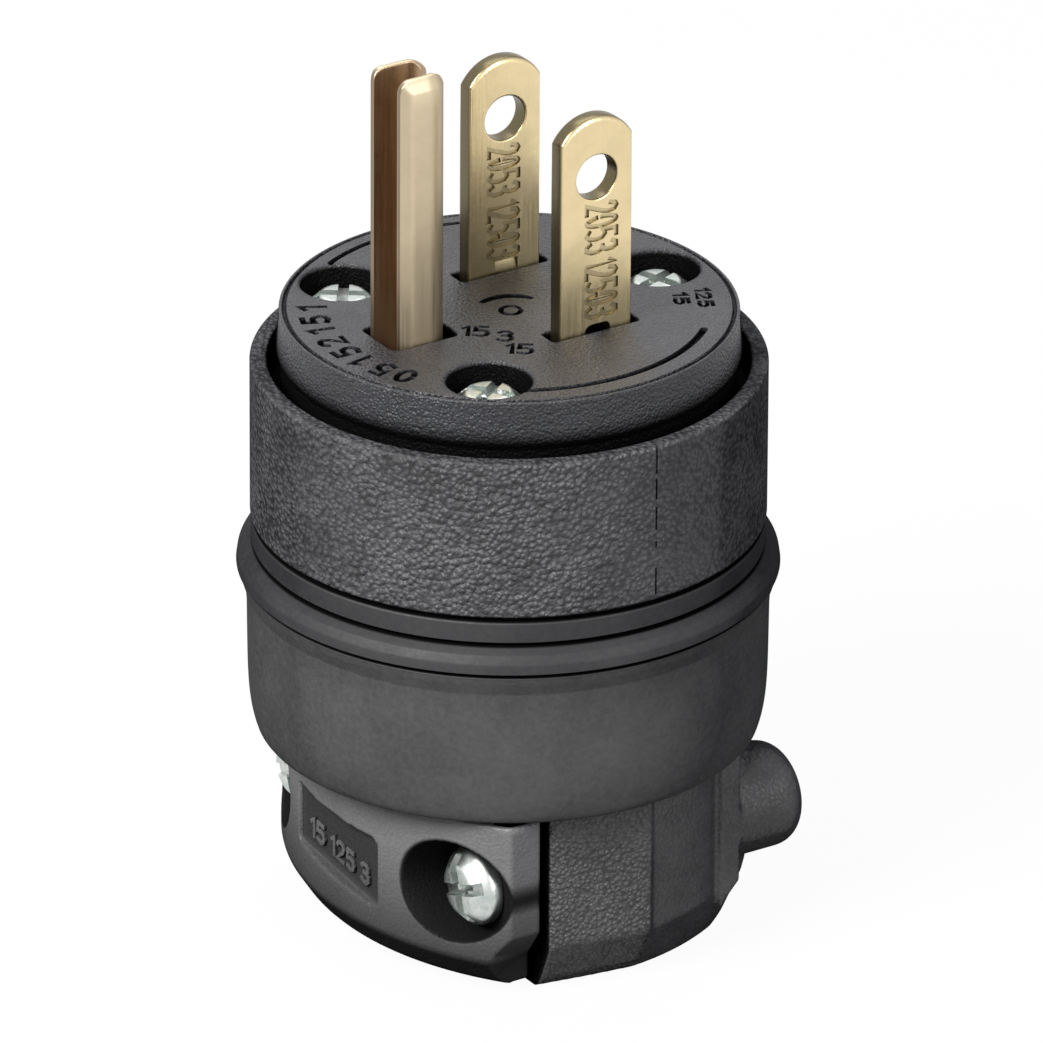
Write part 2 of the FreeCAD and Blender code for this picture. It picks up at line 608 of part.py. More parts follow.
block = new_sketch(shell, "FarBlock", "XZ_Plane")
block_back = d.block_x - d.block_thick
outline(block, [(block_back, -floor_foot), (d.block_x, -floor_foot), (d.block_x, -block_bevel_top),
                (block_back, -block_foot)])
feature(shell, "Pad", "Block", block, block_half * 2, both=True)
bosses = new_sketch(shell, "Bosses", "YZ_Plane", d.block_x)
for y in (d.clamp_screw_y, -d.clamp_screw_y):
    circle(bosses, y, -boss_z, boss_radius)
boss_pad = feature(shell, "Pad", "BossPad", bosses, boss_end - d.block_x)
ends = ["Edge%d" % (i + 1) for i, edge in enumerate(boss_pad.Shape.Edges)
        if edge.BoundBox.XMin > boss_end.value - 0.01]
rounding = shell.newObject("PartDesign::Fillet", "BossRound")
rounding.Base = (boss_pad, ends)
bind(rounding, "Radius", d.boss_round)
doc.recompute()
cut = new_sketch(shell, "SplitCut", "XY_Plane", -floor_foot)
box_outline(cut, -beyond, -d.split_x, -beyond, beyond)
feature(shell, "Pocket", "Split", cut, clamp_foot - floor_foot + 1)
hole = new_sketch(shell, "CordHole", "XY_Plane", -d.floor_top)
circle(hole, 0, 0, d.trough_radius)
feature(shell, "Pocket", "CordCut", hole, through=True)
trough = new_sketch(shell, "TroughMouth", "XY_Plane", -floor_foot)
box_outline(trough, -clamp_radius, 0, -d.trough_radius, d.trough_radius)
feature(shell, "Pocket", "TroughCut", trough, through=True)
bores = new_sketch(shell, "InsertBores", "YZ_Plane", -d.split_x)
for y in (d.clamp_screw_y, -d.clamp_screw_y):
    circle(bores, y, -clamp_screw_z, insert_radius)
feature(shell, "Pocket", "InsertCut", bores, d.split_x + insert_end + 0.3, reverse=True)
posts = new_sketch(shell, "Posts", "XY_Plane", -(carrier_depth + d.post_gap))
for _, x, y in screw_places:
    circle(posts, x, y, post_radius)
feature(shell, "Pad", "PostPad", posts, d.floor_top - carrier_depth + 0.5, reverse=True)
rests = new_sketch(shell, "Rests", "XY_Plane", -tab_foot)
rest_end = sleeve_radius - d.rest_inset
half = d.rest_half
box_outline(rests, d.blade_x - half, d.blade_x + half, rest_y, rest_end)
box_outline(rests, d.blade_x - half, d.blade_x + half, -rest_end, -rest_y)
box_outline(rests, -rest_end, -rest_x, -half, half)
feature(shell, "Pad", "RestPad", rests, d.rest_drop, reverse=True)
pilots = new_sketch(shell, "PostBores", "XY_Plane", -carrier_depth)
for _, x, y in screw_places:
    circle(pilots, x, y, d.assembly_shank + d.thread_fit)
feature(shell, "Pocket", "PilotCut", pilots, post_bore)


# Rubber grip: a lip under the ring, a wide band and a tapered cup round the shell.
grip = new_body("grip_collar")
grip_bore = sleeve_radius + d.sleeve_fit
lip_foot = ring_foot + d.lip_height
rim_top = lip_foot + d.swell_height
rim_foot = rim_top + d.rim_height
waist_foot = rim_foot + d.waist_height
cup_low_radius = grip_bore + d.cup_low_wall
turned(grip, "Grip", [
    (grip_bore, -ring_foot), (grip_bore + d.lip_wall, -ring_foot),
    (grip_bore + d.lip_foot_wall, -lip_foot),
    (grip_bore + d.swell_wall, -(lip_foot + d.swell_height * 0.4)),
    (grip_bore + d.rim_top_wall, -rim_top),
    (grip_bore + d.rim_foot_wall, -rim_foot), (grip_bore + d.waist_wall, -waist_foot),
    (grip_bore + d.cup_mid_wall, -waist_foot - d.shoulder_height),
    (cup_low_radius, -(floor_foot - d.cup_foot_rise)),
    (cup_low_radius - 0.1, -(floor_foot - d.cup_round)),
    (cup_low_radius - d.cup_round * 0.35, -(floor_foot - d.cup_round * 0.35)),
    (cup_low_radius - d.cup_round, -floor_foot), (grip_bore, -floor_foot)])


# Saddle: the loose half of the cord clamp.
saddle = new_body("clamp_saddle")
plan = new_sketch(saddle, "SaddlePlan", "XY_Plane", -saddle_top)
box_outline(plan, saddle_out - 0.5, saddle_inner, -saddle_half, saddle_half)
feature(saddle, "Pad", "SaddleBlock", plan, saddle_foot - saddle_top, reverse=True)
tongue = new_sketch(saddle, "TonguePlan", "XY_Plane", -saddle_top)
tongue_half = d.trough_radius - d.tongue_side
box_outline(tongue, saddle_inner - 1, saddle_inner + d.tongue_reach, -tongue_half, tongue_half)
feature(saddle, "Pad", "Tongue", tongue, saddle_foot - saddle_top, reverse=True)
bow = new_sketch(saddle, "OuterArc", "XY_Plane", -saddle_top)
circle(bow, saddle_arc_x, 0, d.saddle_arc)
box_outline(bow, -d.saddle_arc * 2, d.saddle_arc * 2, -d.saddle_arc * 2, d.saddle_arc * 2)
feature(saddle, "Pocket", "BowCut", bow, through=True)
bevel = new_sketch(saddle, "SaddleBevel", "XZ_Plane")
inner = saddle_out + d.saddle_bevel_in
axis = bevel.addGeometry(Part.LineSegment(FreeCAD.Vector(saddle_arc_x.value, 0, 0),
                                          FreeCAD.Vector(saddle_arc_x.value, d.saddle_arc.value, 0)),
                         True)
pin_point(bevel, axis, 1, saddle_arc_x, 0)
pin_point(bevel, axis, 2, saddle_arc_x, d.saddle_arc)
outline(bevel, [(saddle_out, -saddle_bevel_top), (inner, -saddle_foot),
                (inner, -saddle_foot - 1), (saddle_out - 1, -saddle_foot - 1),
                (saddle_out - 1, -saddle_bevel_top)])
groove = feature(saddle, "Groove", "SaddleBevelCut", bevel)
groove.ReferenceAxis = (bevel, ["Axis0"])
doc.recompute()
ears = new_sketch(saddle, "EarCuts", "YZ_Plane")
for sign in (1, -1):
    edge = saddle_half * sign
    step = (saddle_half - d.saddle_ear_in) * sign
    outline(ears, [(edge, -saddle_ear_top), (step, -saddle_ear_foot),
                   (step, -saddle_foot - 1), (edge + sign, -saddle_foot - 1),
                   (edge + sign, -saddle_ear_top)])
feature(saddle, "Pocket", "EarCut", ears, through=True)
hollow = new_sketch(saddle, "TongueHollow", "XY_Plane", -saddle_top)
circle(hollow, 0, 0, d.trough_radius)
feature(saddle, "Pocket", "HollowCut", hollow, through=True)
holes = new_sketch(saddle, "SaddleHoles", "YZ_Plane")
for y in (d.clamp_screw_y, -d.clamp_screw_y):
    circle(holes, y, -clamp_screw_z, d.clamp_shank + d.screw_clear)
feature(saddle, "Pocket", "SaddleHoleCut", holes, through=True)
wells = new_sketch(saddle, "SaddleWells", "YZ_Plane", -clamp_well_floor)
for y in (d.clamp_screw_y, -d.clamp_screw_y):
    circle(wells, y, -clamp_screw_z, clamp_well)
feature(saddle, "Pocket", "SaddleWellCut", wells, through=True)
panel = new_sketch(saddle, "Panel", "YZ_Plane", saddle_out + d.panel_depth)
box_outline(panel, -d.panel_half, d.panel_half, -panel_foot, -panel_top)
feature(saddle, "Pocket", "PanelCut", panel, through=True)


# Clamp screws, heads in the saddle, each in a threaded insert inside a boss.
clamp_screws = [
    screw("clamp_screw_" + name, d.clamp_head, d.clamp_head_rise, d.clamp_shank, clamp_length,
          x=-clamp_well_floor, y=d.clamp_screw_y * sign, z=-clamp_screw_z,
          axis=(0, 1, 0), angle=-90)
    for name, sign in (("front", -1), ("back", 1))]


def insert(name, sign):
    body = new_body(name, y=d.clamp_screw_y * sign, z=-clamp_screw_z)
    plan = new_sketch(body, "InsertSection", "YZ_Plane", insert_end - d.insert_length)
    circle(plan, 0, 0, insert_radius)
    circle(plan, 0, 0, d.clamp_shank + d.thread_fit)
    feature(body, "Pad", "Insert", plan, d.insert_length)
    return body


inserts = [insert("clamp_insert_" + name, sign) for name, sign in (("front", -1), ("back", 1))]

pieces = ([face, carrier, live, neutral, earth, shell, grip, saddle] + assembly_screws
          + terminal_screws + wire_plates + clamp_screws + inserts)
doc.recompute()
for thing in doc.Objects:
    if "Invalid" in thing.State or "Error" in thing.State:
        raise RuntimeError("%s failed: %s" % (thing.Name, thing.State))
for piece in pieces:
    if piece.Shape.isNull() or not piece.Shape.isValid() or len(piece.Shape.Solids) != 1:
        raise RuntimeError("%s has no single valid solid" % piece.Label)
os.makedirs("parts", exist_ok=True)
for piece in pieces:
    piece.Shape.exportStep("parts/%s.step" % piece.Label)
    box = piece.Shape.BoundBox
    print("%-20s %8.1f mm3  x %.2f %.2f  y %.2f %.2f  z %.2f %.2f" % (
        piece.Label, piece.Shape.Volume, box.XMin, box.XMax, box.YMin, box.YMax, box.ZMin, box.ZMax))
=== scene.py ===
import math

import bmesh
import bpy
import numpy as np
from mathutils import Matrix, Vector


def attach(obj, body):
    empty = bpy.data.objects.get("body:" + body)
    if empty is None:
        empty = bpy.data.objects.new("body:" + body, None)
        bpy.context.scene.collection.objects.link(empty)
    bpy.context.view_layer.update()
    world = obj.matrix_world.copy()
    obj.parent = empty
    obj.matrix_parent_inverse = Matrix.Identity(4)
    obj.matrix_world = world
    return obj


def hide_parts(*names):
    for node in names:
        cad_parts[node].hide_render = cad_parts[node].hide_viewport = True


# A rewireable mains plug with two flat blades and a U-section earth pin.
# Shapes are drawn in millimetres in the CAD frame and scaled to metres as they are finished:
# origin in the middle of the mating face, +Z out along the blades, -Y towards the viewer.

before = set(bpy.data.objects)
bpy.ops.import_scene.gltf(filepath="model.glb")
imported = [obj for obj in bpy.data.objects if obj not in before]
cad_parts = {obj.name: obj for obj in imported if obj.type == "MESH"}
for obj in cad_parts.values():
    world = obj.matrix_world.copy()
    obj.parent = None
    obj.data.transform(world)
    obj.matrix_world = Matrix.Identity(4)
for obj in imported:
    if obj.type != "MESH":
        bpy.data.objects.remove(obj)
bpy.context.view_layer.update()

MM = 0.001
TURN = 2 * math.pi

# Sizes and places that several pieces share
FOOT = -49.3
BLADE_X, BLADE_Y = 3.14, 6.35
TAB_LOW, TAB_TOP = -13.7, -12.5
TAPPED_RADIUS = 1.75
SCREW_RING, SCREW_TURN = 13.2, math.radians(129)
FACE_WELL_FLOOR = -2.9
RING_FOOT, WALL_FOOT = -16.7, -33.9
CLAMP_START, CLAMP_TOP = -33.5, -33.95
SPLIT_X = -6.5
CORD_RADIUS = 5.6
BOLT_Y, BOLT_Z = 12.0, -40.65
SADDLE_WELL_FLOOR = -9.8


# Shapes

def outward(obj):
    """Turns every face outwards."""
    shape = bmesh.new()
    shape.from_mesh(obj.data)
    bmesh.ops.remove_doubles(shape, verts=shape.verts, dist=1e-5)
    bmesh.ops.recalc_face_normals(shape, faces=shape.faces)
    shape.to_mesh(obj.data)
    shape.free()
    return obj


def solid(name, verts, faces):
    """A mesh object from points and faces, its faces turned outwards."""
    mesh = bpy.data.meshes.new(name)
    mesh.from_pydata([tuple(v) for v in verts], [], faces)
    obj = bpy.data.objects.new(name, mesh)
    bpy.context.scene.collection.objects.link(obj)
    return outward(obj)


def rounded(corners, steps=5, closed=True):
    """Corners (x, y, radius) to an outline with an arc at each corner."""
    out = []
    for i, (x, y, r) in enumerate(corners):
        if r <= 0 or (not closed and i in (0, len(corners) - 1)):
            out.append((x, y))
            continue
        p = Vector((x, y))
        a = Vector(corners[i - 1][:2]) - p
        b = Vector(corners[(i + 1) % len(corners)][:2]) - p
        half = a.angle(b) / 2
        reach = min(r / math.tan(half), 0.48 * a.length, 0.48 * b.length)
        r = reach * math.tan(half)
        centre = p + (a.normalized() + b.normalized()).normalized() * (r / math.sin(half))
        start = p + a.normalized() * reach - centre
        sweep = start.angle_signed(p + b.normalized() * reach - centre)
        for k in range(steps + 1):
            turn = -sweep * k / steps
            out.append(tuple(centre + Matrix.Rotation(turn, 2) @ start))
    return out


def arc(x, y, radius, start, end, steps):
    """Points round (x, y) from one angle to another, in degrees."""
    return [(x + radius * math.cos(math.radians(start + (end - start) * k / steps)),
             y + radius * math.sin(math.radians(start + (end - start) * k / steps)))
            for k in range(steps + 1)]


def lathe(name, outline, segments=192):
    """A turned solid round Z from a closed outline of (radius, height)."""
    verts, rings = [], []
    for r, z in outline:
        if r < 1e-6:
            rings.append([len(verts)])
            verts.append((0, 0, z))
            continue
        rings.append(list(range(len(verts), len(verts) + segments)))
        verts += [(r * math.cos(TURN * k / segments), r * math.sin(TURN * k / segments), z)
                  for k in range(segments)]
    faces = []
    for a, b in zip(rings, rings[1:] + rings[:1]):
        for k in range(segments):
            n = (k + 1) % segments
            if len(a) > 1 and len(b) > 1:
                faces.append((a[k], a[n], b[n], b[k]))
            elif len(a) > 1:
                faces.append((a[k], a[n], b[0]))
            elif len(b) > 1:
                faces.append((a[0], b[n], b[k]))
    return solid(name, verts, faces)


def loft(name, levels, axis="z"):
    """A solid through outlines of equally many points; levels are (outline, place on the axis)."""
    order = {"z": lambda a, b, c: (a, b, c), "y": lambda a, b, c: (a, c, b),
             "x": lambda a, b, c: (c, a, b)}[axis]
    count = len(levels[0][0])
    verts = [order(a, b, c) for outline, c in levels for a, b in outline]
    faces = [tuple(range(count)), tuple(range(len(verts) - count, len(verts)))]
    for level in range(len(levels) - 1):
        base = level * count
        for k in range(count):
            n = (k + 1) % count
            faces.append((base + k, base + n, base + count + n, base + count + k))
    return solid(name, verts, faces)


def prism(name, outline, low, high, axis="z"):
    """An outline drawn straight along an axis."""
    return loft(name, [(outline, low), (outline, high)], axis)


def box(name, low, high):
    """A block between two corners."""
    return prism(name, [(low[0], low[1]), (high[0], low[1]), (high[0], high[1]), (low[0], high[1])],
                 low[2], high[2])


def inset(outline, amount):
    """Moves an outline inwards; amount is a number or one number for each point."""
    points = np.array(outline)
    before, after = np.roll(points, 1, 0), np.roll(points, -1, 0)
    area = np.sum(points[:, 0] * after[:, 1] - after[:, 0] * points[:, 1])
    sides = [points - before, after - points]
    normals = []
    for side in sides:
        length = np.linalg.norm(side, axis=1, keepdims=True)
        length[length < 1e-9] = 1
        normals.append(np.stack([-side[:, 1], side[:, 0]], 1) / length * np.sign(area))
    middle = normals[0] + normals[1]
    middle /= np.maximum(np.sum(middle * normals[0], 1, keepdims=True), 0.35)
    moved = points + middle * np.reshape(amount, (-1, 1))
    return [tuple(p) for p in moved]


def shift(obj, x=0, y=0, z=0, turn=0, axis="Z"):
    """Turns a mesh about an axis through the origin, then moves it."""
    obj.data.transform(Matrix.Translation((x, y, z)) @ Matrix.Rotation(math.radians(turn), 4, axis))
    return obj


def settle(obj):
    """Applies an object's modifiers."""
    bpy.context.view_layer.update()
    graph = bpy.context.evaluated_depsgraph_get()
    mesh = bpy.data.meshes.new_from_object(obj.evaluated_get(graph))
    old = obj.data
    obj.modifiers.clear()
    obj.data = mesh
    bpy.data.meshes.remove(old)
    return obj


def combine(base, tools, operation="DIFFERENCE"):
    """Cuts the tools out of a solid, or joins them to it, and removes them."""
    for tool in tools:
        step = base.modifiers.new("step", "BOOLEAN")
        step.solver = "MANIFOLD"
        step.operation = operation
        step.object = tool
    settle(base)
    for tool in tools:
        bpy.data.objects.remove(tool, do_unlink=True)
    return base


def melt(obj, cell, passes, share=1.0):
    """Remeshes to even cells and softens the edges, as on a moulded part."""
    step = obj.modifiers.new("even", "REMESH")
    step.mode = "VOXEL"
    step.voxel_size = cell
    step = obj.modifiers.new("soft", "SMOOTH")
    step.factor = 0.5
    step.iterations = passes
    if share < 1:
        step = obj.modifiers.new("fewer", "DECIMATE")
        step.ratio = share
    return settle(obj)


STROKES = {
    "0": [[(0.3 - 0.3 * math.cos(a / 10 * math.pi), 0.5 + 0.5 * math.sin(a / 10 * math.pi))
           for a in range(20)]],
    "1": [[(0.0, 0.78), (0.24, 1.0), (0.24, 0.0)]],
    "2": [[(0.02, 0.78), (0.12, 0.95), (0.3, 1.0), (0.5, 0.94), (0.58, 0.76), (0.5, 0.55), (0.0, 0.0),
           (0.6, 0.0)]],
    "3": [[(0.02, 0.86), (0.2, 1.0), (0.42, 1.0), (0.56, 0.88), (0.56, 0.68), (0.42, 0.54), (0.2, 0.54)],
          [(0.3, 0.54), (0.46, 0.52), (0.6, 0.4), (0.6, 0.18), (0.42, 0.0), (0.18, 0.0), (0.0, 0.14)]],
    "5": [[(0.56, 1.0), (0.08, 1.0), (0.05, 0.56), (0.32, 0.62), (0.52, 0.54), (0.6, 0.33), (0.52, 0.1),
           (0.3, 0.0), (0.0, 0.1)]]}


def stroke(points, width, low, high):
    """A solid line through points in XY, of one width."""
    points = np.array(points)
    sides = points[1:] - points[:-1]
    sides /= np.linalg.norm(sides, axis=1, keepdims=True)
    points[0] -= sides[0] * width * 0.3
    points[-1] += sides[-1] * width * 0.3
    normals = np.stack([-sides[:, 1], sides[:, 0]], 1)
    first, last = np.vstack([normals[:1], normals]), np.vstack([normals, normals[-1:]])
    middle = first + last
    middle /= np.maximum(np.sum(middle * first, 1, keepdims=True), 0.5)
    left, right = points + middle * width / 2, points - middle * width / 2
    return prism("stroke", [tuple(p) for p in left] + [tuple(p) for p in right[::-1]], low, high)


def digits(text, run, height, depth, width):
    """Plain numbers in XY, centred, run wide and height tall: solid strokes from -depth to +depth."""
    steps = [{"1": 0.5, " ": 0.4}.get(sign, 0.86) for sign in text]
    total = sum(steps) - 0.26
    lines, pen = [], 0.0
    for sign, step in zip(text, steps):
        for points in STROKES.get(sign, []):
            placed = [((x + pen - total / 2) * (run - width) / total, (y - 0.5) * (height - width))
                      for x, y in points]
            lines.append(stroke(placed, width, -depth, depth))
        pen += step
    return lines


def finish_piece(obj, material, replaces=(), sharp=32):
    """Scales a piece to metres, shades it, and ties it to the frame."""
    obj.data.transform(Matrix.Scale(MM, 4))
    obj.data.materials.clear()
    obj.data.materials.append(material)
    obj.data.polygons.foreach_set("material_index", [0] * len(obj.data.polygons))
    obj.data.shade_smooth()
    obj.data.set_sharp_from_angle(angle=math.radians(sharp))
    step = obj.modifiers.new("normals", "WEIGHTED_NORMAL")
    step.keep_sharp = True
    settle(obj)
    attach(obj, "root")
    if replaces:
        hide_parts(*replaces)
    return obj


# Materials

class Finish:
    """A principled material with helpers for procedural detail."""

    def __init__(self, name, colour, roughness, metallic=0.0, specular=0.5):
        self.material = bpy.data.materials.new(name)
        self.material.use_nodes = True
        self.tree = self.material.node_tree
        self.shader = self.tree.nodes["Principled BSDF"]
        self.shader.inputs["Base Color"].default_value = (*colour, 1)
        self.shader.inputs["Roughness"].default_value = roughness
        self.shader.inputs["Metallic"].default_value = metallic
        self.shader.inputs["Specular IOR Level"].default_value = specular
        self.place = self.node("ShaderNodeTexCoord").outputs["Object"]
        self.normal = None

    def node(self, kind, **settings):
        made = self.tree.nodes.new(kind)
        for key, value in settings.items():
            setattr(made, key, value)
        return made

    def link(self, source, target):
        self.tree.links.new(source, target)

    def stretch(self, x, y, z):
        """Object coordinates, in millimetres times the given shares."""
        made = self.node("ShaderNodeMapping")
        made.inputs["Scale"].default_value = (x / MM, y / MM, z / MM)
        self.link(self.place, made.inputs["Vector"])
        return made.outputs["Vector"]

    def axes(self):
        """Object coordinates in millimetres, one by one."""
        made = self.node("ShaderNodeSeparateXYZ")
        self.link(self.stretch(1, 1, 1), made.inputs[0])
        return made.outputs

    def noise(self, scale, detail=2.0, rough=0.5, where=None):
        """Noise with about scale bumps in a millimetre."""
        made = self.node("ShaderNodeTexNoise")
        made.inputs["Scale"].default_value = scale
        made.inputs["Detail"].default_value = detail
        made.inputs["Roughness"].default_value = rough
        self.link(where or self.stretch(1, 1, 1), made.inputs["Vector"])
        return made.outputs["Fac"]

    def cells(self, scale, where, smooth):
        """Rounded cells, scale of them in a millimetre."""
        made = self.node("ShaderNodeTexVoronoi", feature="SMOOTH_F1")
        made.inputs["Scale"].default_value = scale
        made.inputs["Smoothness"].default_value = smooth
        self.link(where, made.inputs["Vector"])
        return made.outputs["Distance"]

    def spread(self, value, low, high, to_low=0.0, to_high=1.0):
        """Maps a value from one range to another and holds it there."""
        made = self.node("ShaderNodeMapRange")
        for key, number in zip(("From Min", "From Max", "To Min", "To Max"),
                               (low, high, to_low, to_high)):
            made.inputs[key].default_value = number
        self.link(value, made.inputs["Value"])
        return made.outputs["Result"]

    def math(self, operation, a, b=0):
        made = self.node("ShaderNodeMath", operation=operation)
        for socket, value in zip(made.inputs, (a, b)):
            if isinstance(value, (int, float)):
                socket.default_value = value
            else:
                self.link(value, socket)
        return made.outputs[0]

    def distance(self, a, b):
        """The length of a line with the given steps along two axes."""
        return self.math("SQRT", self.math("ADD", self.math("MULTIPLY", a, a), self.math("MULTIPLY", b, b)))

    def blend(self, share, low, high):
        """A colour between two, by share."""
        made = self.node("ShaderNodeMix", data_type="RGBA")
        self.link(share, made.inputs["Factor"])
        for socket, value in ((made.inputs[6], low), (made.inputs[7], high)):
            if isinstance(value, tuple):
                socket.default_value = (*value, 1)
            else:
                self.link(value, socket)
        return made.outputs[2]

    def bump(self, height, strength, distance):
        """Adds relief; distance is in millimetres."""
        made = self.node("ShaderNodeBump")
        if isinstance(strength, (int, float)):
            made.inputs["Strength"].default_value = strength
        else:
            self.link(strength, made.inputs["Strength"])
        made.inputs["Distance"].default_value = distance * MM
        self.link(height, made.inputs["Height"])
        if self.normal:
            self.link(self.normal, made.inputs["Normal"])
        self.normal = made.outputs["Normal"]
        self.link(self.normal, self.shader.inputs["Normal"])

    def colour(self, value):
        self.link(value, self.shader.inputs["Base Color"])

    def rough(self, value):
        self.link(value, self.shader.inputs["Roughness"])


def sheen(f, level, black=None, flat=0.5):
    """Gloss of a moulded skin, which goes where shade is painted black and where it is seen at a flat
    angle.
    """
    weight = f.node("ShaderNodeLayerWeight")
    weight.inputs["Blend"].default_value = 0.5
    value = f.spread(weight.outputs["Facing"], flat - 0.35, flat, level, 0.0)
    if black:
        value = f.math("MULTIPLY", value, f.spread(black, 0, 1, 1.0, 0.1))
    f.link(value, f.shader.inputs["Specular IOR Level"])


def grained_plastic(name, dark, light, roughness, cell, relief, fine=0.02, wear=None, painted_black=None,
                    specular=0.35, flat=0.5):
    """Black moulded plastic with a pebbled grain of cells of about one cell in millimetres.
    wear gives the share of the grain, and the shade mask the share of black painted as shade, both by
    place."""
    f = Finish(name, dark, roughness)
    where = f.stretch(1, 1, 1)
    pebble = f.cells(1 / cell, where, 0.35)
    waves = f.noise(2.2 / cell, 2.0, 0.6, where)
    height = f.math("ADD", f.math("MULTIPLY", pebble, -1.0), f.math("MULTIPLY", waves, 0.5))
    share = wear(f) if wear else 1.0
    f.bump(height, share, relief)
    f.bump(f.noise(6.0, 3.0, 0.65, where), 0.7, fine)
    patches = f.noise(0.22, 4.0, 0.6, where)
    # Painted light and shade: the crests of the grain are painted lighter than its hollows.
    crest = f.spread(height, -0.45, 0.25, 0.0, 0.8)
    crest = f.math("MULTIPLY", crest, share)
    tone = f.math("ADD", f.spread(patches, 0.3, 0.7, -0.05, 0.35), crest)
    colour = f.blend(f.spread(tone, 0, 1), dark, light)
    # Painted shade: black is blended in where the shade mask gives it.
    black = painted_black(f) if painted_black else None
    if painted_black:
        colour = f.blend(black, colour, (0.003, 0.003, 0.003))
    sheen(f, specular, black, flat)
    f.colour(colour)
    f.rough(f.math("ADD", f.spread(patches, 0.3, 0.7, roughness + 0.05, roughness - 0.05),
                   f.spread(waves, 0.35, 0.65, 0.08, -0.08)))
    return f


def worn_grain(f):
    """Grain that fades a little in places."""
    return f.spread(f.noise(0.2, 2.0), 0.36, 0.56, 0.7, 1.0)


def ring_painted_shade(f):
    """Painted shade: the ring's inside, below its top, is painted black."""
    x, y, z = f.axes()
    radius = f.distance(x, y)
    return f.math("MULTIPLY", f.spread(radius, 18.5, 18.35), f.spread(z, -4.0, -4.3))


def face_painted_shade(f):
    """Painted shade: the wells, slots and marks of the face are painted black, and its flange darkens to
    black towards the neck.
    """
    x, y, z = f.axes()
    radius = f.distance(x, y)
    inner = f.math("MULTIPLY", f.spread(z, -0.08, -0.34), f.spread(radius, 17.08, 17.0))
    return f.math("MAXIMUM", inner, f.spread(z, -2.2, -3.3))


def split_painted_shade(f):
    """Painted shade: the split face towards the saddle, in the gap, is painted black."""
    x, y, z = f.axes()
    return f.spread(x, -6.38, -6.46)


def facet_grain(f):
    """The clamp is pebbled on the flat facets beside the split and smooth elsewhere."""
    x, y, z = f.axes()
    return f.math("MULTIPLY", f.spread(x, 1.75, 1.5, 0.3, 1.0), f.spread(z, -49.3, -48.5, 0.3, 1.0))


def saddle_painted_shade(f):
    """Painted shade: the saddle's wells are painted black inside, its sunk panel darker, and it darkens
    towards its lower edge.
    """
    x, y, z = f.axes()
    across = f.math("ABSOLUTE", y)
    side, rise = f.math("SUBTRACT", across, BOLT_Y), f.math("SUBTRACT", z, BOLT_Z)
    radius = f.distance(side, rise)
    well = f.math("MULTIPLY", f.spread(radius, 4.4, 4.15), f.spread(x, -15.4, -14.4))
    panel = f.math("MULTIPLY", f.spread(across, 5.6, 5.5), f.spread(x, -15.0, -14.9))
    panel = f.math("MULTIPLY", panel, f.spread(f.math("ABSOLUTE", rise), 3.6, 3.5, 0.0, 0.76))
    # Painted shade: darker towards the bottom, and more along the lower bevel.
    low = f.math("ADD", f.spread(z, -38.0, -45.4, 0.0, 0.66), f.spread(z, -45.6, -46.2, 0.0, 0.26))
    return f.math("MAXIMUM", f.math("MULTIPLY", well, 0.95), f.math("MAXIMUM", panel, low))


face_plastic = grained_plastic("face_plastic", (0.014, 0.014, 0.017), (0.034, 0.035, 0.041),
                               0.30, 0.24, 0.10, painted_black=face_painted_shade, specular=0.4, flat=0.92)
ring_plastic = grained_plastic("ring_plastic", (0.024, 0.024, 0.026), (0.110, 0.110, 0.117),
                               0.40, 0.42, 0.34, wear=worn_grain, painted_black=ring_painted_shade)
clamp_plastic = grained_plastic("clamp_plastic", (0.034, 0.034, 0.036), (0.112, 0.112, 0.116),
                                0.40, 0.34, 0.30, wear=facet_grain, painted_black=split_painted_shade)
smooth_plastic = grained_plastic("smooth_plastic", (0.122, 0.122, 0.126), (0.156, 0.156, 0.161),
                                 0.36, 0.25, 0.04, painted_black=saddle_painted_shade, specular=0.3)
# Partly painted shade: the carrier, black plastic deep in the gap, is painted near black.
carrier_plastic = grained_plastic("carrier_plastic", (0.006, 0.006, 0.006), (0.009, 0.009, 0.009),
                                  0.5, 0.3, 0.08, specular=0.05)


def rubber(name):
    """Matt rubber, cloudy and specked, darker in the wide band, with painted shade: black in its grooves
    and under the ring.
    """
    f = Finish(name, (0.06, 0.06, 0.062), 0.6)
    where = f.stretch(1, 1, 1)
    clouds = f.noise(0.13, 5.0, 0.62, where)
    specks = f.noise(2.2, 4.0, 0.7, where)
    x, y, z = f.axes()
    tone = f.math("ADD", f.spread(clouds, 0.32, 0.68, 0.0, 0.7), f.spread(specks, 0.35, 0.7, -0.1, 0.5))
    colour = f.blend(f.spread(tone, 0, 1), (0.042, 0.042, 0.044), (0.076, 0.076, 0.078))
    colour = f.blend(f.spread(z, -21.5, -21.2, 0.0, 0.62), colour, (0.012, 0.012, 0.014))
    # Painted shade: the grooves and the top of the lip under the ring are painted black.
    first = f.spread(f.math("ABSOLUTE", f.math("ADD", z, 18.9)), 0.26, 0.18)
    second = f.spread(f.math("ABSOLUTE", f.math("ADD", z, 21.06)), 0.22, 0.14)
    black = f.math("MAXIMUM", f.math("MAXIMUM", first, second), f.spread(z, -17.16, -17.06))
    colour = f.blend(black, colour, (0.003, 0.003, 0.003))
    sheen(f, 0.3, black)
    f.colour(colour)
    f.rough(f.math("ADD", f.spread(clouds, 0.3, 0.7, 0.66, 0.54), f.spread(specks, 0.3, 0.7, 0.05, -0.05)))
    f.bump(specks, 0.7, 0.03)
    f.bump(f.noise(9.0, 2.0, 0.5, where), 0.5, 0.012)
    return f


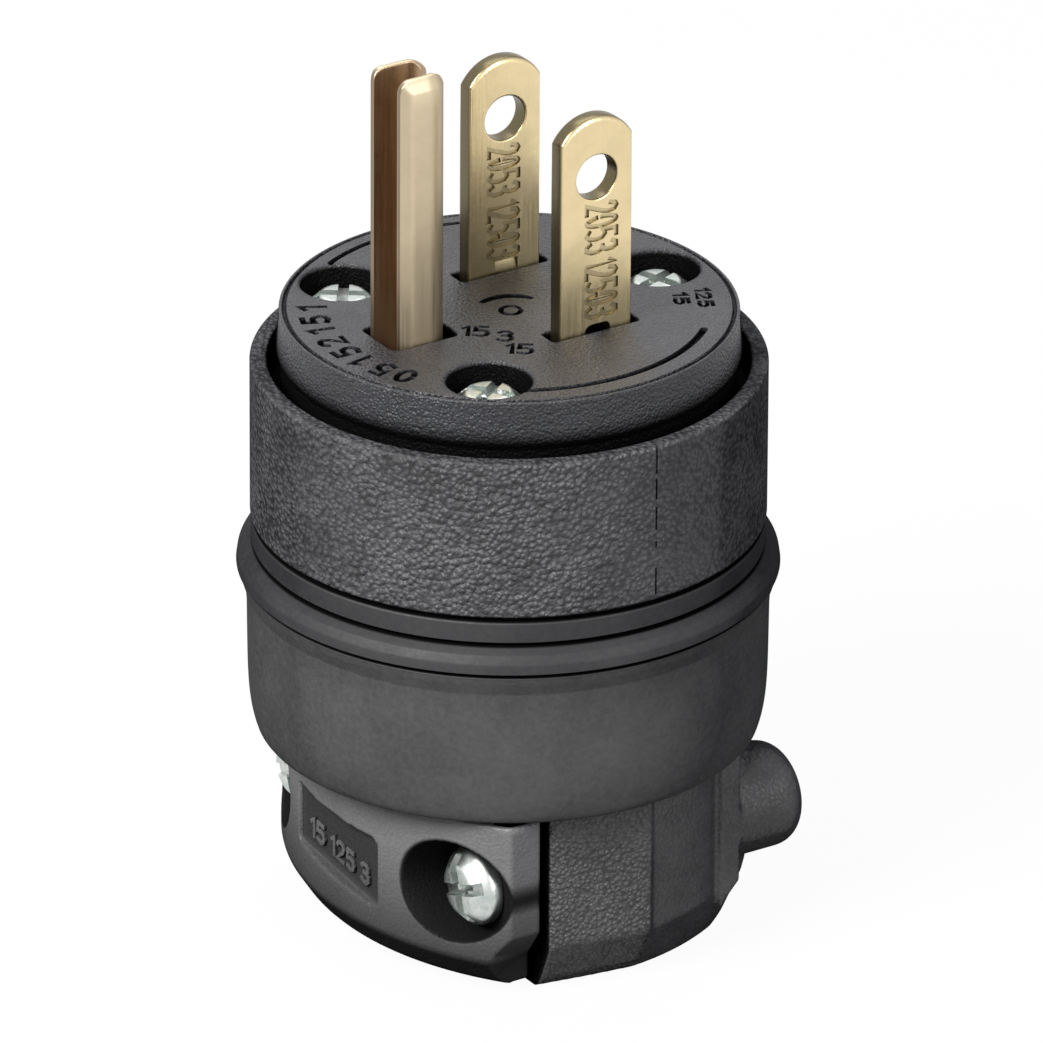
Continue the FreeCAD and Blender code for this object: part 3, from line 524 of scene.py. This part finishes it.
def brass(name, bright, dull, roughness, stains_and_shade):
    """Sheet brass: fine upright draw lines, a darker skin towards the foot, and stains and painted
    shade, given as shares with their colours by place and normal."""
    f = Finish(name, bright, roughness, metallic=1.0)
    where = f.stretch(1, 1, 1)
    lines = f.noise(5.0, 3.0, 0.6, f.stretch(1, 1, 0.03))
    stains = f.noise(0.45, 4.0, 0.6, where)
    x, y, z = f.axes()
    low = f.spread(z, 0.0, 9.0, 0.7, 0.0)
    skin = f.math("ADD", low, f.spread(stains, 0.35, 0.7, -0.12, 0.35))
    colour = f.blend(f.spread(skin, 0, 1), bright, dull)
    facing = f.node("ShaderNodeSeparateXYZ")
    f.link(f.node("ShaderNodeNewGeometry").outputs["Normal"], facing.inputs[0])
    for share, tone in stains_and_shade(f, (x, y, z), facing.outputs):
        colour = f.blend(share, colour, tone)
    f.colour(colour)
    f.rough(f.math("ADD", f.spread(lines, 0.3, 0.7, roughness - 0.06, roughness + 0.08),
                   f.spread(skin, 0, 1, 0.0, 0.12)))
    f.bump(lines, 0.5, 0.014)
    f.bump(stains, 0.6, 0.03)
    return f


def blade_painted_shade(f, place, facing):
    """Painted shade: the sheared edges, the coined rim and the stamping are painted dark."""
    edge = f.spread(f.math("ABSOLUTE", facing[1]), 0.93, 0.45, 0.0, 0.95)
    across = f.math("ABSOLUTE", f.math("SUBTRACT", f.math("ABSOLUTE", place[1]), BLADE_Y))
    dark = f.math("MAXIMUM", edge, f.spread(across, 0.72, 0.64, 0.0, 0.35))
    return [(dark, (0.12, 0.10, 0.055))]


def pin_stain_and_shade(f, place, facing):
    """The brown inside of the U, and its cut edges, duller and painted darker as shade."""
    inside = f.math("MULTIPLY", f.spread(f.math("ABSOLUTE", place[1]), 1.50, 1.38),
                    f.spread(place[0], -6.75, -6.85))
    cut = f.spread(f.math("ABSOLUTE", facing[0]), 0.35, 0.8, 0.0, 0.95)
    return [(cut, (0.24, 0.20, 0.14)), (inside, (0.43, 0.31, 0.20))]


def plated(name, colour, tint, roughness):
    """Smooth metal with cloudy patches of a tint."""
    f = Finish(name, colour, roughness, metallic=1.0)
    where = f.stretch(1, 1, 1)
    clouds = f.noise(1.6, 4.0, 0.65, where)
    f.colour(f.blend(f.spread(clouds, 0.35, 0.65), colour, tint))
    f.rough(f.spread(clouds, 0.3, 0.7, roughness - 0.06, roughness + 0.12))
    f.bump(f.noise(4.5, 3.0, 0.6, where), 0.6, 0.03)
    return f


grip_rubber = rubber("grip_rubber")
blade_brass = brass("blade_brass", (0.86, 0.70, 0.41), (0.56, 0.47, 0.28), 0.27, blade_painted_shade)
earth_brass = brass("earth_brass", (0.66, 0.55, 0.38), (0.50, 0.41, 0.28), 0.36, pin_stain_and_shade)
zinc = plated("zinc_screw", (0.70, 0.72, 0.70), (0.48, 0.53, 0.51), 0.30)
terminal_brass = plated("brass_screw", (0.72, 0.53, 0.26), (0.60, 0.43, 0.20), 0.3)
green = plated("green_screw", (0.10, 0.36, 0.16), (0.07, 0.27, 0.12), 0.32)


# Mating face

def flared_cutter(outline, depth, flare=0.28):
    """A straight cutter from -depth upwards whose mouth widens at z = 0 as a rounded edge."""
    levels = [(outline, -depth), (outline, -flare)]
    for k in range(1, 5):
        a = math.radians(90 * k / 4)
        levels.append((inset(outline, -flare * (1 - math.cos(a))), -flare * (1 - math.sin(a))))
    levels.append((inset(outline, -flare), 1.0))
    return loft("cutter", levels)


def round_outline(radius, steps=64):
    """A circle about the origin."""
    return arc(0, 0, radius, 0, 360 - 360 / steps, steps - 1)


def slot_outline(x0, x1, y0, y1, radius):
    """A rectangle with rounded corners."""
    return rounded([(x0, y0, radius), (x1, y0, radius), (x1, y1, radius), (x0, y1, radius)], 4)


def groove_cutter(radius, width, start, end, depth):
    """A shallow ring-shaped groove in the top face, round at its ends."""
    steps = max(8, int(abs(end - start) / 1.5))
    outer = arc(0, 0, radius + width / 2, start, end, steps)
    tip = arc(*arc(0, 0, radius, end, end, 1)[0], width / 2, end, end + 180, 6)[1:-1]
    inner = arc(0, 0, radius - width / 2, end, start, steps)
    tail = arc(*arc(0, 0, radius, start, start, 1)[0], width / 2, start + 180, start + 360, 6)[1:-1]
    return prism("groove", outer + tip + inner + tail, -depth, 0.5)


screw_spots = {"right": (SCREW_RING, 0.0),
               "front": (SCREW_RING * math.cos(SCREW_TURN), -SCREW_RING * math.sin(SCREW_TURN)),
               "back": (SCREW_RING * math.cos(SCREW_TURN), SCREW_RING * math.sin(SCREW_TURN))}


def face_openings():
    """The screw wells with their holes, and the slots of the contacts."""
    through, flare = 8, 0.16
    cutters = []
    for x, y in screw_spots.values():
        cutters.append(shift(flared_cutter(round_outline(3.2), -FACE_WELL_FLOOR, 0.4), x, y))
        cutters.append(shift(prism("hole", round_outline(1.8, 32), -9, 0), x, y))
    for y in (-BLADE_Y, BLADE_Y):
        cutters.append(flared_cutter(slot_outline(-0.7, 6.98, y - 0.94, y + 0.94, 0.35), through, flare))
    cutters.append(flared_cutter(slot_outline(-11.66, -5.86, -2.4, 2.4, 0.6), through, flare))
    return cutters


def face_marks(depth=0.4):
    """Two long grooves near the rim, a crescent over a small ring, and plain numbers."""
    def number(text, x, y, turn, run, height, width):
        return [shift(line, x, y, 0, turn) for line in digits(text, run, height, depth, width)]

    def rim_number(text, place, radius, run, height, width):
        a = math.radians(place)
        return number(text, radius * math.cos(a), radius * math.sin(a), place - 90, run, height, width)

    crescent = arc(0, 0, 2.75, 18, 122, 24) + arc(-0.38, -1.03, 3.1, 106, 34, 24)
    cutters = [groove_cutter(15.1, 0.62, -122, -48, depth),
               groove_cutter(15.5, 0.5, 72, 118, depth),
               shift(prism("crescent", crescent, -depth, 0.5), -0.2, -0.6),
               shift(groove_cutter(0.75, 0.42, 0, 330, depth), -0.35, -0.75)]
    for place, sign in zip(range(150, 209, 8), "15125150"):
        cutters += rim_number(sign, place, 14.75, 1.05 if sign == "1" else 1.6, 2.4, 0.48)
    cutters += rim_number("125", -26, 14.7, 3.6, 1.35, 0.34)
    cutters += rim_number("15", -26, 12.95, 2.3, 1.35, 0.34)
    for text, x, y in (("15", -4.6, -2.5), ("3", -3.2, -4.4), ("15", -3.5, -6.9)):
        cutters += number(text, x, y, -35, 0.9 * len(text) + 0.5, 2.0, 0.38)
    return cutters


def mating_face():
    """The flared disc with a groove near its rim."""
    face = lathe("face_disc", rounded([
        (0, 0, 0), (16.72, 0, 0.05), (16.8, -0.3, 0.04), (17.0, -0.3, 0.04), (17.08, -0.02, 0.06),
        (17.3, -0.06, 0.18), (17.5, -3.35, 0.8), (17.2, -3.9, 0.1), (17.2, -7, 0), (0, -7, 0)]))
    combine(face, face_openings() + face_marks())
    finish_piece(face, face_plastic.material, ["front_face"])


mating_face()


# Blades

BLADE_HALF_WIDTH, BLADE_HALF_THICKNESS = 3.175, 0.76


def blade_plate(name):
    """A plate with a round tip and coined rims, standing along X at y = 0."""
    half, tip, radius = BLADE_HALF_WIDTH, 13.8, 3.6
    steps = 28
    shoulder = math.degrees(math.acos(half / radius))
    right = [(half, z) for z in (TAB_LOW, -1, 5, 11)]
    left = [(-x, z) for x, z in reversed(right)]
    outline = left + right + arc(0, tip, radius, shoulder, 180 - shoulder, steps)
    ease = [0.2] * 8 + [0.3 + 0.22 * math.sin(math.pi * k / steps) for k in range(steps + 1)]
    levels = []
    for k in range(5):
        a = math.radians(90 * k / 4)
        levels.append((inset(outline, [e * (1 - math.sin(a)) for e in ease]),
                       -BLADE_HALF_THICKNESS + 0.32 * (1 - math.cos(a))))
    levels += [(outline, 0.0)] + [(points, -y) for points, y in reversed(levels)]
    return loft(name, levels, "y")


def blade_tab(side):
    """The foot, bent outwards."""
    half = BLADE_HALF_WIDTH
    tab = prism("tab", rounded([(-half, -0.7, 0), (half, -0.7, 0), (half, 5.9, 0.5), (2, 7.9, 0.5),
                                (-2, 7.9, 0.5), (-half, 5.9, 0.5)]), TAB_LOW, TAB_TOP)
    if side < 0:
        tab.data.transform(Matrix.Scale(-1, 4, (0, 1, 0)))
        outward(tab)
    return tab


def blade_eye(radius=1.78, ease=0.17, beyond=1.5):
    """The cutter of the hole near the tip, which has rounded edges."""
    mouth = radius + ease
    half = []
    for k in range(5):
        a = math.radians(90 * k / 4)
        half.append((radius + ease * (1 - math.sin(a)), -BLADE_HALF_THICKNESS + ease * (1 - math.cos(a))))
    outline = [(0, -beyond), (mouth, -beyond)] + half + [(r, -y) for r, y in reversed(half)]
    eye = lathe("eye", outline + [(mouth, beyond), (0, beyond)], 64)
    shift(eye, turn=90, axis="X")
    return shift(eye, z=12.5)


def blade_stamp(x):
    """Plain numbers stamped upright into the near face."""
    cutters = []
    for line in digits("2053 12503", 9.5, 3.0, 0.17, 0.38):
        shift(line, turn=-90)
        shift(line, turn=90, axis="X")
        cutters.append(shift(line, x=x, y=-BLADE_HALF_THICKNESS, z=5.7))
    return cutters


def blade(name, side, node):
    """A flat blade with a hole, a stamped face, and a notch or a dent at its foot."""
    plate = blade_plate(name)
    combine(plate, [blade_tab(side)], "UNION")
    tapped = shift(prism("tapped", round_outline(TAPPED_RADIUS, 32), -15, -11), y=4.05 * side)
    cutters = [blade_eye(), tapped] + blade_stamp(0.42 if side < 0 else -0.14)
    if side < 0:
        notch = rounded([(-1.5, -3, 0), (1.5, -3, 0), (1.2, 0.55, 0.45), (-0.9, 0.55, 0.6)])
        cutters.append(prism("notch", notch, -2, 2, "y"))
    else:
        low = [(-1, -2), (1, -2), (1, -0.86), (-1, -0.86)]
        high = [(-1, -2), (1, -2), (1, -0.3), (-1, -0.3)]
        cutters.append(shift(loft("dent", [(low, -0.6), (high, 0.9)]), x=0.15))
    combine(plate, cutters)
    shift(plate, BLADE_X, BLADE_Y * side)
    finish_piece(plate, blade_brass.material, [node], 40)


blade("blade_neutral", -1, "neutral_blade")
blade("blade_live", 1, "live_blade")


# Earth pin

PIN_HALF_THICKNESS = 0.425
PIN_TURN_X, PIN_TURN_RADIUS = -8.51, 1.775
PIN_OPEN_X = {1: -11.17, -1: -10.82}
PIN_NOSE = 0.9


def limited(value):
    """A value held between 0 and 1."""
    return max(0, min(1, value))


def pin_stations():
    """Places along the middle of the bent sheet, from leaf round the bend to leaf, each with the
    direction outwards."""
    stations = []
    for side in (1, -1):
        leaf = [PIN_OPEN_X[side] + PIN_NOSE * (1 - math.cos(math.radians(15 * k))) for k in range(7)]
        leaf += [leaf[-1] + (PIN_TURN_X - leaf[-1]) * k / 5 for k in range(1, 6)]
        leaf = [((x, PIN_TURN_RADIUS * side), (0, side)) for x in leaf]
        if side < 0:
            leaf.reverse()
        else:
            bend = [90 - 57 * k / 12 for k in range(1, 13)] + [32.2, 30.5, 27, 20, 10]
            bend += [0] + [-a for a in reversed(bend)]
            for a in bend:
                out = (math.cos(math.radians(a)), math.sin(math.radians(a)))
                leaf.append(((PIN_TURN_X + PIN_TURN_RADIUS * out[0], PIN_TURN_RADIUS * out[1]), out))
        stations += leaf
    return stations


def pin_ring(place, out):
    """The sheet's closed outline at one station: up the outside, over the crest, down the inside."""
    top, web_top, bevel_start, bevel, crest_ease = 21.4, 19.1, 20.3, 0.42, 0.16
    half, web = PIN_HALF_THICKNESS, out[0] > 0
    near = min(1, (place[0] - PIN_OPEN_X[1 if place[1] > 0 else -1]) / PIN_NOSE)
    far = limited((PIN_TURN_X + 1.5 - place[0]) / PIN_NOSE)
    crest = top
    for corner in (near, far):
        crest -= PIN_NOSE * (1 - math.sqrt(1 - (1 - corner) ** 2))
    foot = -9.4
    if web:
        crest += (web_top - crest) * limited((out[0] - math.cos(math.radians(33))) / 0.02)
        foot -= 3.1 * limited(out[0] / 0.1)
    join = min(bevel_start, crest - 0.3)
    heights = [foot + (join - foot) * k / 20 for k in range(21)]
    heights += [join + (crest - crest_ease - join) * k / 5 for k in range(1, 6)]
    ease_end = 0.0 if web else bevel * (1 - near)
    outer = [(half - max(ease_end, bevel * max(0, (z - bevel_start) / (top - bevel_start))), z)
             for z in heights]
    edge = outer[-1][0]
    reach = crest_ease * (edge + half)
    cap = [(edge - reach * (1 - math.cos(math.radians(a))),
            crest - crest_ease * (1 - math.sin(math.radians(a)))) for a in (30, 60, 90)]
    cap += [(-half + reach * (1 - math.sin(math.radians(a))),
             crest - crest_ease * (1 - math.cos(math.radians(a)))) for a in (0, 30, 60)]
    inner = [(-half, z) for z in reversed(heights)]
    return [(place[0] + out[0] * w, place[1] + out[1] * w, z) for w, z in outer + cap + inner]


def earth_pin():
    """Sheet brass folded to a U. The leaves have rounded corners and a bevel outside, and stand
    above the web, which runs down to a tab."""
    rings = [pin_ring(place, out) for place, out in pin_stations()]
    count = len(rings[0])
    verts = [spot for ring in rings for spot in ring]
    faces = [tuple(range(count)), tuple(range(len(verts) - count, len(verts)))]
    for i in range(len(rings) - 1):
        for k in range(count):
            n = (k + 1) % count
            faces.append((i * count + k, i * count + n, (i + 1) * count + n, (i + 1) * count + k))
    pin = solid("earth_channel", verts, faces)
    step = pin.modifiers.new("edge", "BEVEL")
    step.limit_method = "ANGLE"
    step.angle_limit = math.radians(50)
    step.width = 0.1
    step.segments = 3
    settle(pin)
    tab = prism("tab", rounded([(-6.31, -3.175, 0.2), (-6.31, 3.175, 0.2), (-12.15, 3.175, 0.5),
                                (-14.15, 2, 0.5), (-14.15, -2, 0.5), (-12.15, -3.175, 0.5)]),
                TAB_LOW, TAB_TOP)
    combine(tab, [shift(prism("tapped", round_outline(TAPPED_RADIUS, 32), -15, -11), -10.3)])
    tab.name = "earth_tab"
    finish_piece(tab, earth_brass.material)
    finish_piece(pin, earth_brass.material, ["ground_pin"], 40)


earth_pin()


# Screws

def combination_screw(name, head, rise, shank, length, slot):
    """A pan head with a broad slot and a cross recess; seat at the origin, head along +Z."""
    slot_depth, recess_depth, arm_half, arm_length = 0.75, 1.9, 0.32, 1.5
    outline = rounded([(0, rise, 0), (head * 0.62, rise, 0.5), (head, rise * 0.5, 0.9), (head, 0, 0.2),
                       (shank, 0, 0)], 6, False)
    outline += [(shank, -length + shank * 0.4), (shank * 0.6, -length), (0, -length)]
    screw = lathe(name, outline, 96)
    bottom = rise - slot_depth
    cutters = [box("slot", (-head - 1, -slot / 2, bottom), (head + 1, slot / 2, rise + 1)),
               box("slot", (-slot / 2, -head - 1, bottom), (slot / 2, head + 1, rise + 1))]
    star = []
    for quarter in range(4):
        a = math.radians(90 * quarter)
        for x, y in ((arm_length, arm_half), (arm_half, arm_half), (arm_half, arm_length)):
            star.append((x * math.cos(a) - y * math.sin(a), x * math.sin(a) + y * math.cos(a)))
    small = [(x * 0.45, y * 0.45) for x, y in star]
    cutters.append(loft("recess", [(small, rise - recess_depth), (star, rise + 0.3)]))
    return combine(screw, cutters)


def assembly_screw(word, x, y, spin):
    """A screw in a well of the face."""
    screw = combination_screw("assembly_screw_" + word, 2.75, 2.0, 1.55, 19.5, 0.85)
    shift(screw, x, y, FACE_WELL_FLOOR, spin)
    finish_piece(screw, zinc.material, ["face_screw_" + word])


def clamp_bolt(word, y):
    """A screw in a well of the saddle, its head towards -X."""
    screw = combination_screw("clamp_bolt_" + word, 3.05, 2.3, 1.75, 23.2, 0.95)
    shift(screw, turn=20)
    shift(screw, SADDLE_WELL_FLOOR, y, BOLT_Z, -90, "Y")
    finish_piece(screw, zinc.material, ["clamp_screw_" + word])


for (word, spot), spin in zip(screw_spots.items(), (20, 35, 55)):
    assembly_screw(word, *spot, spin)
clamp_bolt("front", -BOLT_Y)
clamp_bolt("back", BOLT_Y)


# Shell

def shell_ring():
    """The pebbled ring with a fine parting line, broken here and there, and the wall under the grip."""
    wall = lathe("shell_ring", rounded([
        (18.2, -4.05, 0.22), (19.5, -4.05, 0.3), (19.5, RING_FOOT, 0.3), (17.0, RING_FOOT, 0),
        (17.0, WALL_FOOT, 0), (CORD_RADIUS, WALL_FOOT, 0), (CORD_RADIUS, -31.9, 0), (15.4, -31.9, 0),
        (15.4, -9.0, 0), (18.2, -9.0, 0)]), 256)
    lines = [(-3, -6.3), (-6.7, -8.4), (-9.0, -10.9), (-11.8, -12.3), (-14.0, -16.2)]
    combine(wall, [box("parting", (0.5, -20, low), (0.68, -19.3, high)) for high, low in lines])
    finish_piece(wall, ring_plastic.material, ["shell"])


shell_ring()


def clamp_body():
    """The flat facets beside the split and the round flank, with a bevel all round the foot."""
    far_x, radius, squash = 10.7, 17.45, 0.88
    flank = [(x, math.sqrt(radius ** 2 - (squash * x) ** 2)) for x in np.linspace(1.95, far_x, 14)]
    side = [(-9.5, 15.63), (SPLIT_X, 16.2), (-2.5, 16.96), (1.55, 17.72), (1.76, 17.56)] + flank
    foot = side[:2] + [(-2.5, 16.9), (1.3, 17.42), (1.7, 17.40)] + flank
    corner = math.degrees(math.atan2(flank[-1][1], far_x))
    far_arc = arc(0, 0, math.hypot(flank[-1][1], far_x), -corner, corner, 20)[1:-1]
    upper, lower = ([(x, -y) for x, y in half] + far_arc + half[::-1] for half in (side, foot))
    return loft("clamp_fixed", [(inset(points, amount), z) for points, amount, z in (
        (upper, 0.0, CLAMP_START), (upper, 0.0, -45.1), (upper, 0.1, -45.5), (lower, 1.25, -48.3),
        (lower, 1.6, -48.95), (lower, 2.0, FOOT))])


def clamp_boss(y, radius=4.1, start=9.5, end=17.1):
    """A round boss along +X with a rounded end, above the axis of its screw."""
    outline = [(0, start, 0), (radius, start, 0), (radius, end, 1.9), (0, end, 0)]
    boss = lathe("boss", rounded(outline, 8), 96)
    shift(boss, turn=90, axis="Y")
    return shift(boss, y=y, z=-39.7)


def clamp_fixed():
    """The fixed half: the body, the far block and two bosses, open at the split and for the cord."""
    base = clamp_body()
    block = prism("block", [(8.9, CLAMP_START), (10.7, CLAMP_START), (10.7, -44.1), (8.9, -46.1)],
                  -16.1, 16.1, "y")
    core = box("core", (0, -14.5, -45.4), (10.0, 14.5, CLAMP_START))
    combine(base, [core, block, clamp_boss(-BOLT_Y), clamp_boss(BOLT_Y)], "UNION")
    cutters = [box("split", (-25, -25, -60), (SPLIT_X, 25, CLAMP_TOP)),
               prism("cord", round_outline(CORD_RADIUS, 96), -60, -20),
               box("mouth", (-20, -CORD_RADIUS, -60), (0, CORD_RADIUS, CLAMP_TOP))]
    for y in (-BOLT_Y, BOLT_Y):
        cutters.append(shift(prism("bore", round_outline(2.7, 48), -10, 14.5, "x"), y=y, z=BOLT_Z))
    for sign in (1, -1):
        cutters.append(prism("corner", [(-7, 17.5 * sign), (-6.15, 17.5 * sign), (-6.15, 16.27 * sign),
                                        (SPLIT_X, 15.95 * sign), (-7, 15.95 * sign)], -60, CLAMP_TOP))
    combine(base, cutters)
    melt(base, 0.17, 3, 0.5)
    finish_piece(base, clamp_plastic.material)


clamp_fixed()


# Rubber grip

def grip_sleeve():
    """A lip under the ring, a wide band between two grooves, and a cup that turns in at its foot."""
    bore = 17.05
    lip = [(18.9, -16.75, 0), (18.9, -17.0, 0), (19.3, -17.04, 0.08), (19.44, -17.2, 0.1),
           (19.44, -18.72, 0.1)]
    band = [(18.9, -18.8, 0), (18.9, -19.0, 0), (19.3, -19.05, 0.1), (20.1, -19.5, 0.4),
            (20.45, -20.1, 0.6), (20.56, -20.86, 0.08), (20.05, -20.95, 0), (20.02, -21.16, 0)]
    cup = [(20.34, -21.25, 0.1), (20.15, -21.9, 0.6), (19.85, -22.8, 0.8)]
    cup += [(19.76 - 0.1 * t - 0.55 * t ** 6, -24 - 9.7 * t, 0) for t in np.linspace(0, 1, 24)]
    outline = [(bore, -16.75, 0)] + lip + band + cup + [(18.95, WALL_FOOT, 0.15), (bore, WALL_FOOT, 0)]
    grip = lathe("grip_sleeve", rounded(outline, 6), 256)
    finish_piece(grip, grip_rubber.material, ["grip_collar"], 50)


grip_sleeve()


# Saddle

def saddle():
    """The loose half of the cord clamp: a bowed block with cut lower corners, a tongue, a sunk
    panel and two wells."""
    end, bow_radius, bow_x = 16.15, 25.1, 9.3
    bow = [(bow_x - math.sqrt(bow_radius ** 2 - y * y), y) for y in np.linspace(end, -end, 60)]
    outline = [(-4.0, -end), (-4.0, end)] + bow
    base = loft("clamp_shoe", [(inset(outline, amount), z) for amount, z in (
        (0.3, -34.4), (0.08, -34.5), (0.0, -34.8), (0.0, -45.7), (0.12, -46.2), (1.15, -47.8),
        (1.55, -48.2), (2.0, -48.4))])
    cutters = [box("split", (-7.3, -30, -60), (0, 30, -30))]
    for sign in (1, -1):
        cutters.append(prism("ear", [(end * sign, -43.7), (14.5 * sign, -46.1), (14.5 * sign, -52),
                                     (20 * sign, -52), (20 * sign, -43.7)], -30, 10, "x"))
    combine(base, cutters)
    combine(base, [box("tongue", (-8.5, -5.1, -48.4), (-2.35, 5.1, -34.4))], "UNION")
    cutters = [prism("cord", round_outline(CORD_RADIUS, 96), -60, -20)]
    for y in (-BOLT_Y, BOLT_Y):
        well = prism("well", round_outline(4.05, 72), -30, SADDLE_WELL_FLOOR, "x")
        cutters.append(shift(well, y=y, z=BOLT_Z))
        cutters.append(shift(prism("hole", round_outline(2.0, 48), -12, 0, "x"), y=y, z=BOLT_Z))
    panel = rounded([(-5.5, -44.1, 0.4), (5.5, -42.9, 0.4), (5.5, -38.0, 0.4), (-5.5, -38.4, 0.6)])
    cutters.append(prism("panel", panel, -20, -14.75, "x"))
    combine(base, cutters)
    melt(base, 0.16, 3, 0.6)
    finish_piece(base, smooth_plastic.material, ["clamp_saddle"])


def panel_marks():
    """Plain numbers raised from the panel's floor, upright and a little sheared with the panel."""
    marks = digits("15 125 3", 8.4, 1.8, 0.22, 0.32)
    marks = combine(marks[0], marks[1:], "UNION")
    marks.data.transform(Matrix(((0, 0, -1, -14.8), (-1, 0, 0, 0), (-0.11, 1, 0, -41.7), (0, 0, 0, 1))))
    marks.name = "panel_marks"
    finish_piece(marks, smooth_plastic.material)


saddle()
panel_marks()


# Carried-over CAD nodes

def dress(node, material):
    """Gives a CAD node its finish; its mesh stays as it is."""
    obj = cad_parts[node]
    obj.data.materials.clear()
    obj.data.materials.append(material)


dress("terminal_carrier", carrier_plastic.material)
for word in ("live", "neutral"):
    dress(word + "_screw", terminal_brass.material)
dress("ground_screw", green.material)
for word in ("live", "neutral", "ground"):
    dress(word + "_plate", terminal_brass.material)
for word in ("front", "back"):
    dress("clamp_insert_" + word, terminal_brass.material)


# Floor, light and camera

def emptied_tree(owner):
    """The node tree of a material or world, with nothing in it."""
    owner.use_nodes = True
    owner.node_tree.nodes.clear()
    return owner.node_tree


def white_share(tree, path):
    """1 for the rays that show the white background, straight, through glass or in gloss."""
    seen = path.outputs["Is Camera Ray"]
    for ray in ("Is Transmission Ray", "Is Glossy Ray"):
        either = tree.nodes.new("ShaderNodeMath")
        either.operation = "MAXIMUM"
        tree.links.new(seen, either.inputs[0])
        tree.links.new(path.outputs[ray], either.inputs[1])
        seen = either.outputs[0]
    return seen


def mixed(tree, share, low, high, output):
    """Ends a tree with a mix of two shaders."""
    mix = tree.nodes.new("ShaderNodeMixShader")
    tree.links.new(share, mix.inputs[0])
    tree.links.new(low.outputs[0], mix.inputs[1])
    tree.links.new(high.outputs[0], mix.inputs[2])
    tree.links.new(mix.outputs[0], tree.nodes.new(output).inputs["Surface"])


def floor_material():
    """White where it is seen, with a trace of the object's shadow, and grey for light that falls
    on the object."""
    material = bpy.data.materials.new("floor")
    tree = emptied_tree(material)
    path = tree.nodes.new("ShaderNodeLightPath")
    share = tree.nodes.new("ShaderNodeMath")
    share.operation = "MULTIPLY"
    share.inputs[1].default_value = 0.95
    tree.links.new(white_share(tree, path), share.inputs[0])
    tone = tree.nodes.new("ShaderNodeMapRange")
    tone.inputs["To Min"].default_value = 0.14
    tone.inputs["To Max"].default_value = 0.6
    tree.links.new(path.outputs["Is Camera Ray"], tone.inputs["Value"])
    pale = tree.nodes.new("ShaderNodeBsdfDiffuse")
    tree.links.new(tone.outputs["Result"], pale.inputs["Color"])
    glow = tree.nodes.new("ShaderNodeEmission")
    glow.inputs["Color"].default_value = (1, 1, 1, 1)
    mixed(tree, share.outputs[0], pale, glow, "ShaderNodeOutputMaterial")
    return material


def floor(reach=3000):
    """The plane that the object stands on."""
    plane = solid("floor", [(-reach, -reach, FOOT), (reach, -reach, FOOT), (reach, reach, FOOT),
                            (-reach, reach, FOOT)], [(0, 1, 2, 3)])
    plane.data.transform(Matrix.Scale(MM, 4))
    plane.data.materials.append(floor_material())


def white_world():
    """White where it is seen, and a soft, slightly cool light on the object."""
    world = bpy.data.worlds.new("studio")
    bpy.context.scene.world = world
    tree = emptied_tree(world)
    path = tree.nodes.new("ShaderNodeLightPath")
    white = tree.nodes.new("ShaderNodeBackground")
    white.inputs["Color"].default_value = (1, 1, 1, 1)
    soft = tree.nodes.new("ShaderNodeBackground")
    soft.inputs["Color"].default_value = (0.92, 0.95, 1.0, 1)
    soft.inputs["Strength"].default_value = 0.32
    mixed(tree, white_share(tree, path), soft, white, "ShaderNodeOutputWorld")


def area_light(name, place, size, power, colour=(1, 1, 1), aim=(0, 0, -15)):
    """A lamp at a place in millimetres, turned to the middle of the object."""
    light = bpy.data.lights.new(name, "AREA")
    light.shape = "RECTANGLE"
    light.size, light.size_y = size[0] * MM, size[1] * MM
    light.energy = power
    light.color = colour
    lamp = bpy.data.objects.new(name, light)
    bpy.context.scene.collection.objects.link(lamp)
    lamp.location = Vector(place) * MM
    lamp.rotation_mode = "QUATERNION"
    lamp.rotation_quaternion = (Vector(aim) - Vector(place)).to_track_quat("-Z", "Y")


def camera():
    """The photograph's view: a long lens from the front left, 25 degrees above."""
    image_width, focal_pixels, sensor = 1043, 16012.8, 36
    sideways, upwards, distance = 0.906, -16.172, 1200
    turn, rise, roll = math.radians(-32.665), math.radians(25.406), math.radians(-0.298)
    right = Vector((math.cos(turn), math.sin(turn), 0))
    back = Vector((math.sin(turn) * math.cos(rise), -math.cos(turn) * math.cos(rise), math.sin(rise)))
    up = back.cross(right)
    x = right * math.cos(roll) - up * math.sin(roll)
    y = right * math.sin(roll) + up * math.cos(roll)
    lens = bpy.data.cameras.new("camera")
    lens.sensor_width = sensor
    lens.lens = focal_pixels / image_width * sensor
    lens.clip_start, lens.clip_end = 0.05, 20
    view = bpy.data.objects.new("camera", lens)
    bpy.context.scene.collection.objects.link(view)
    pose = Matrix((x, y, back)).transposed().to_4x4()
    pose.translation = (x * sideways + y * upwards + back * distance) * MM
    view.matrix_world = pose
    bpy.context.scene.camera = view


floor()
white_world()
area_light("key", (-509, -112, 437), (300, 300), 8.4, (1.0, 0.99, 0.97))
area_light("side", (150, -585, 280), (160, 420), 1.6)
area_light("top", (100, 200, 520), (420, 420), 1.6)
camera()
bpy.context.scene.view_settings.view_transform = "Standard"
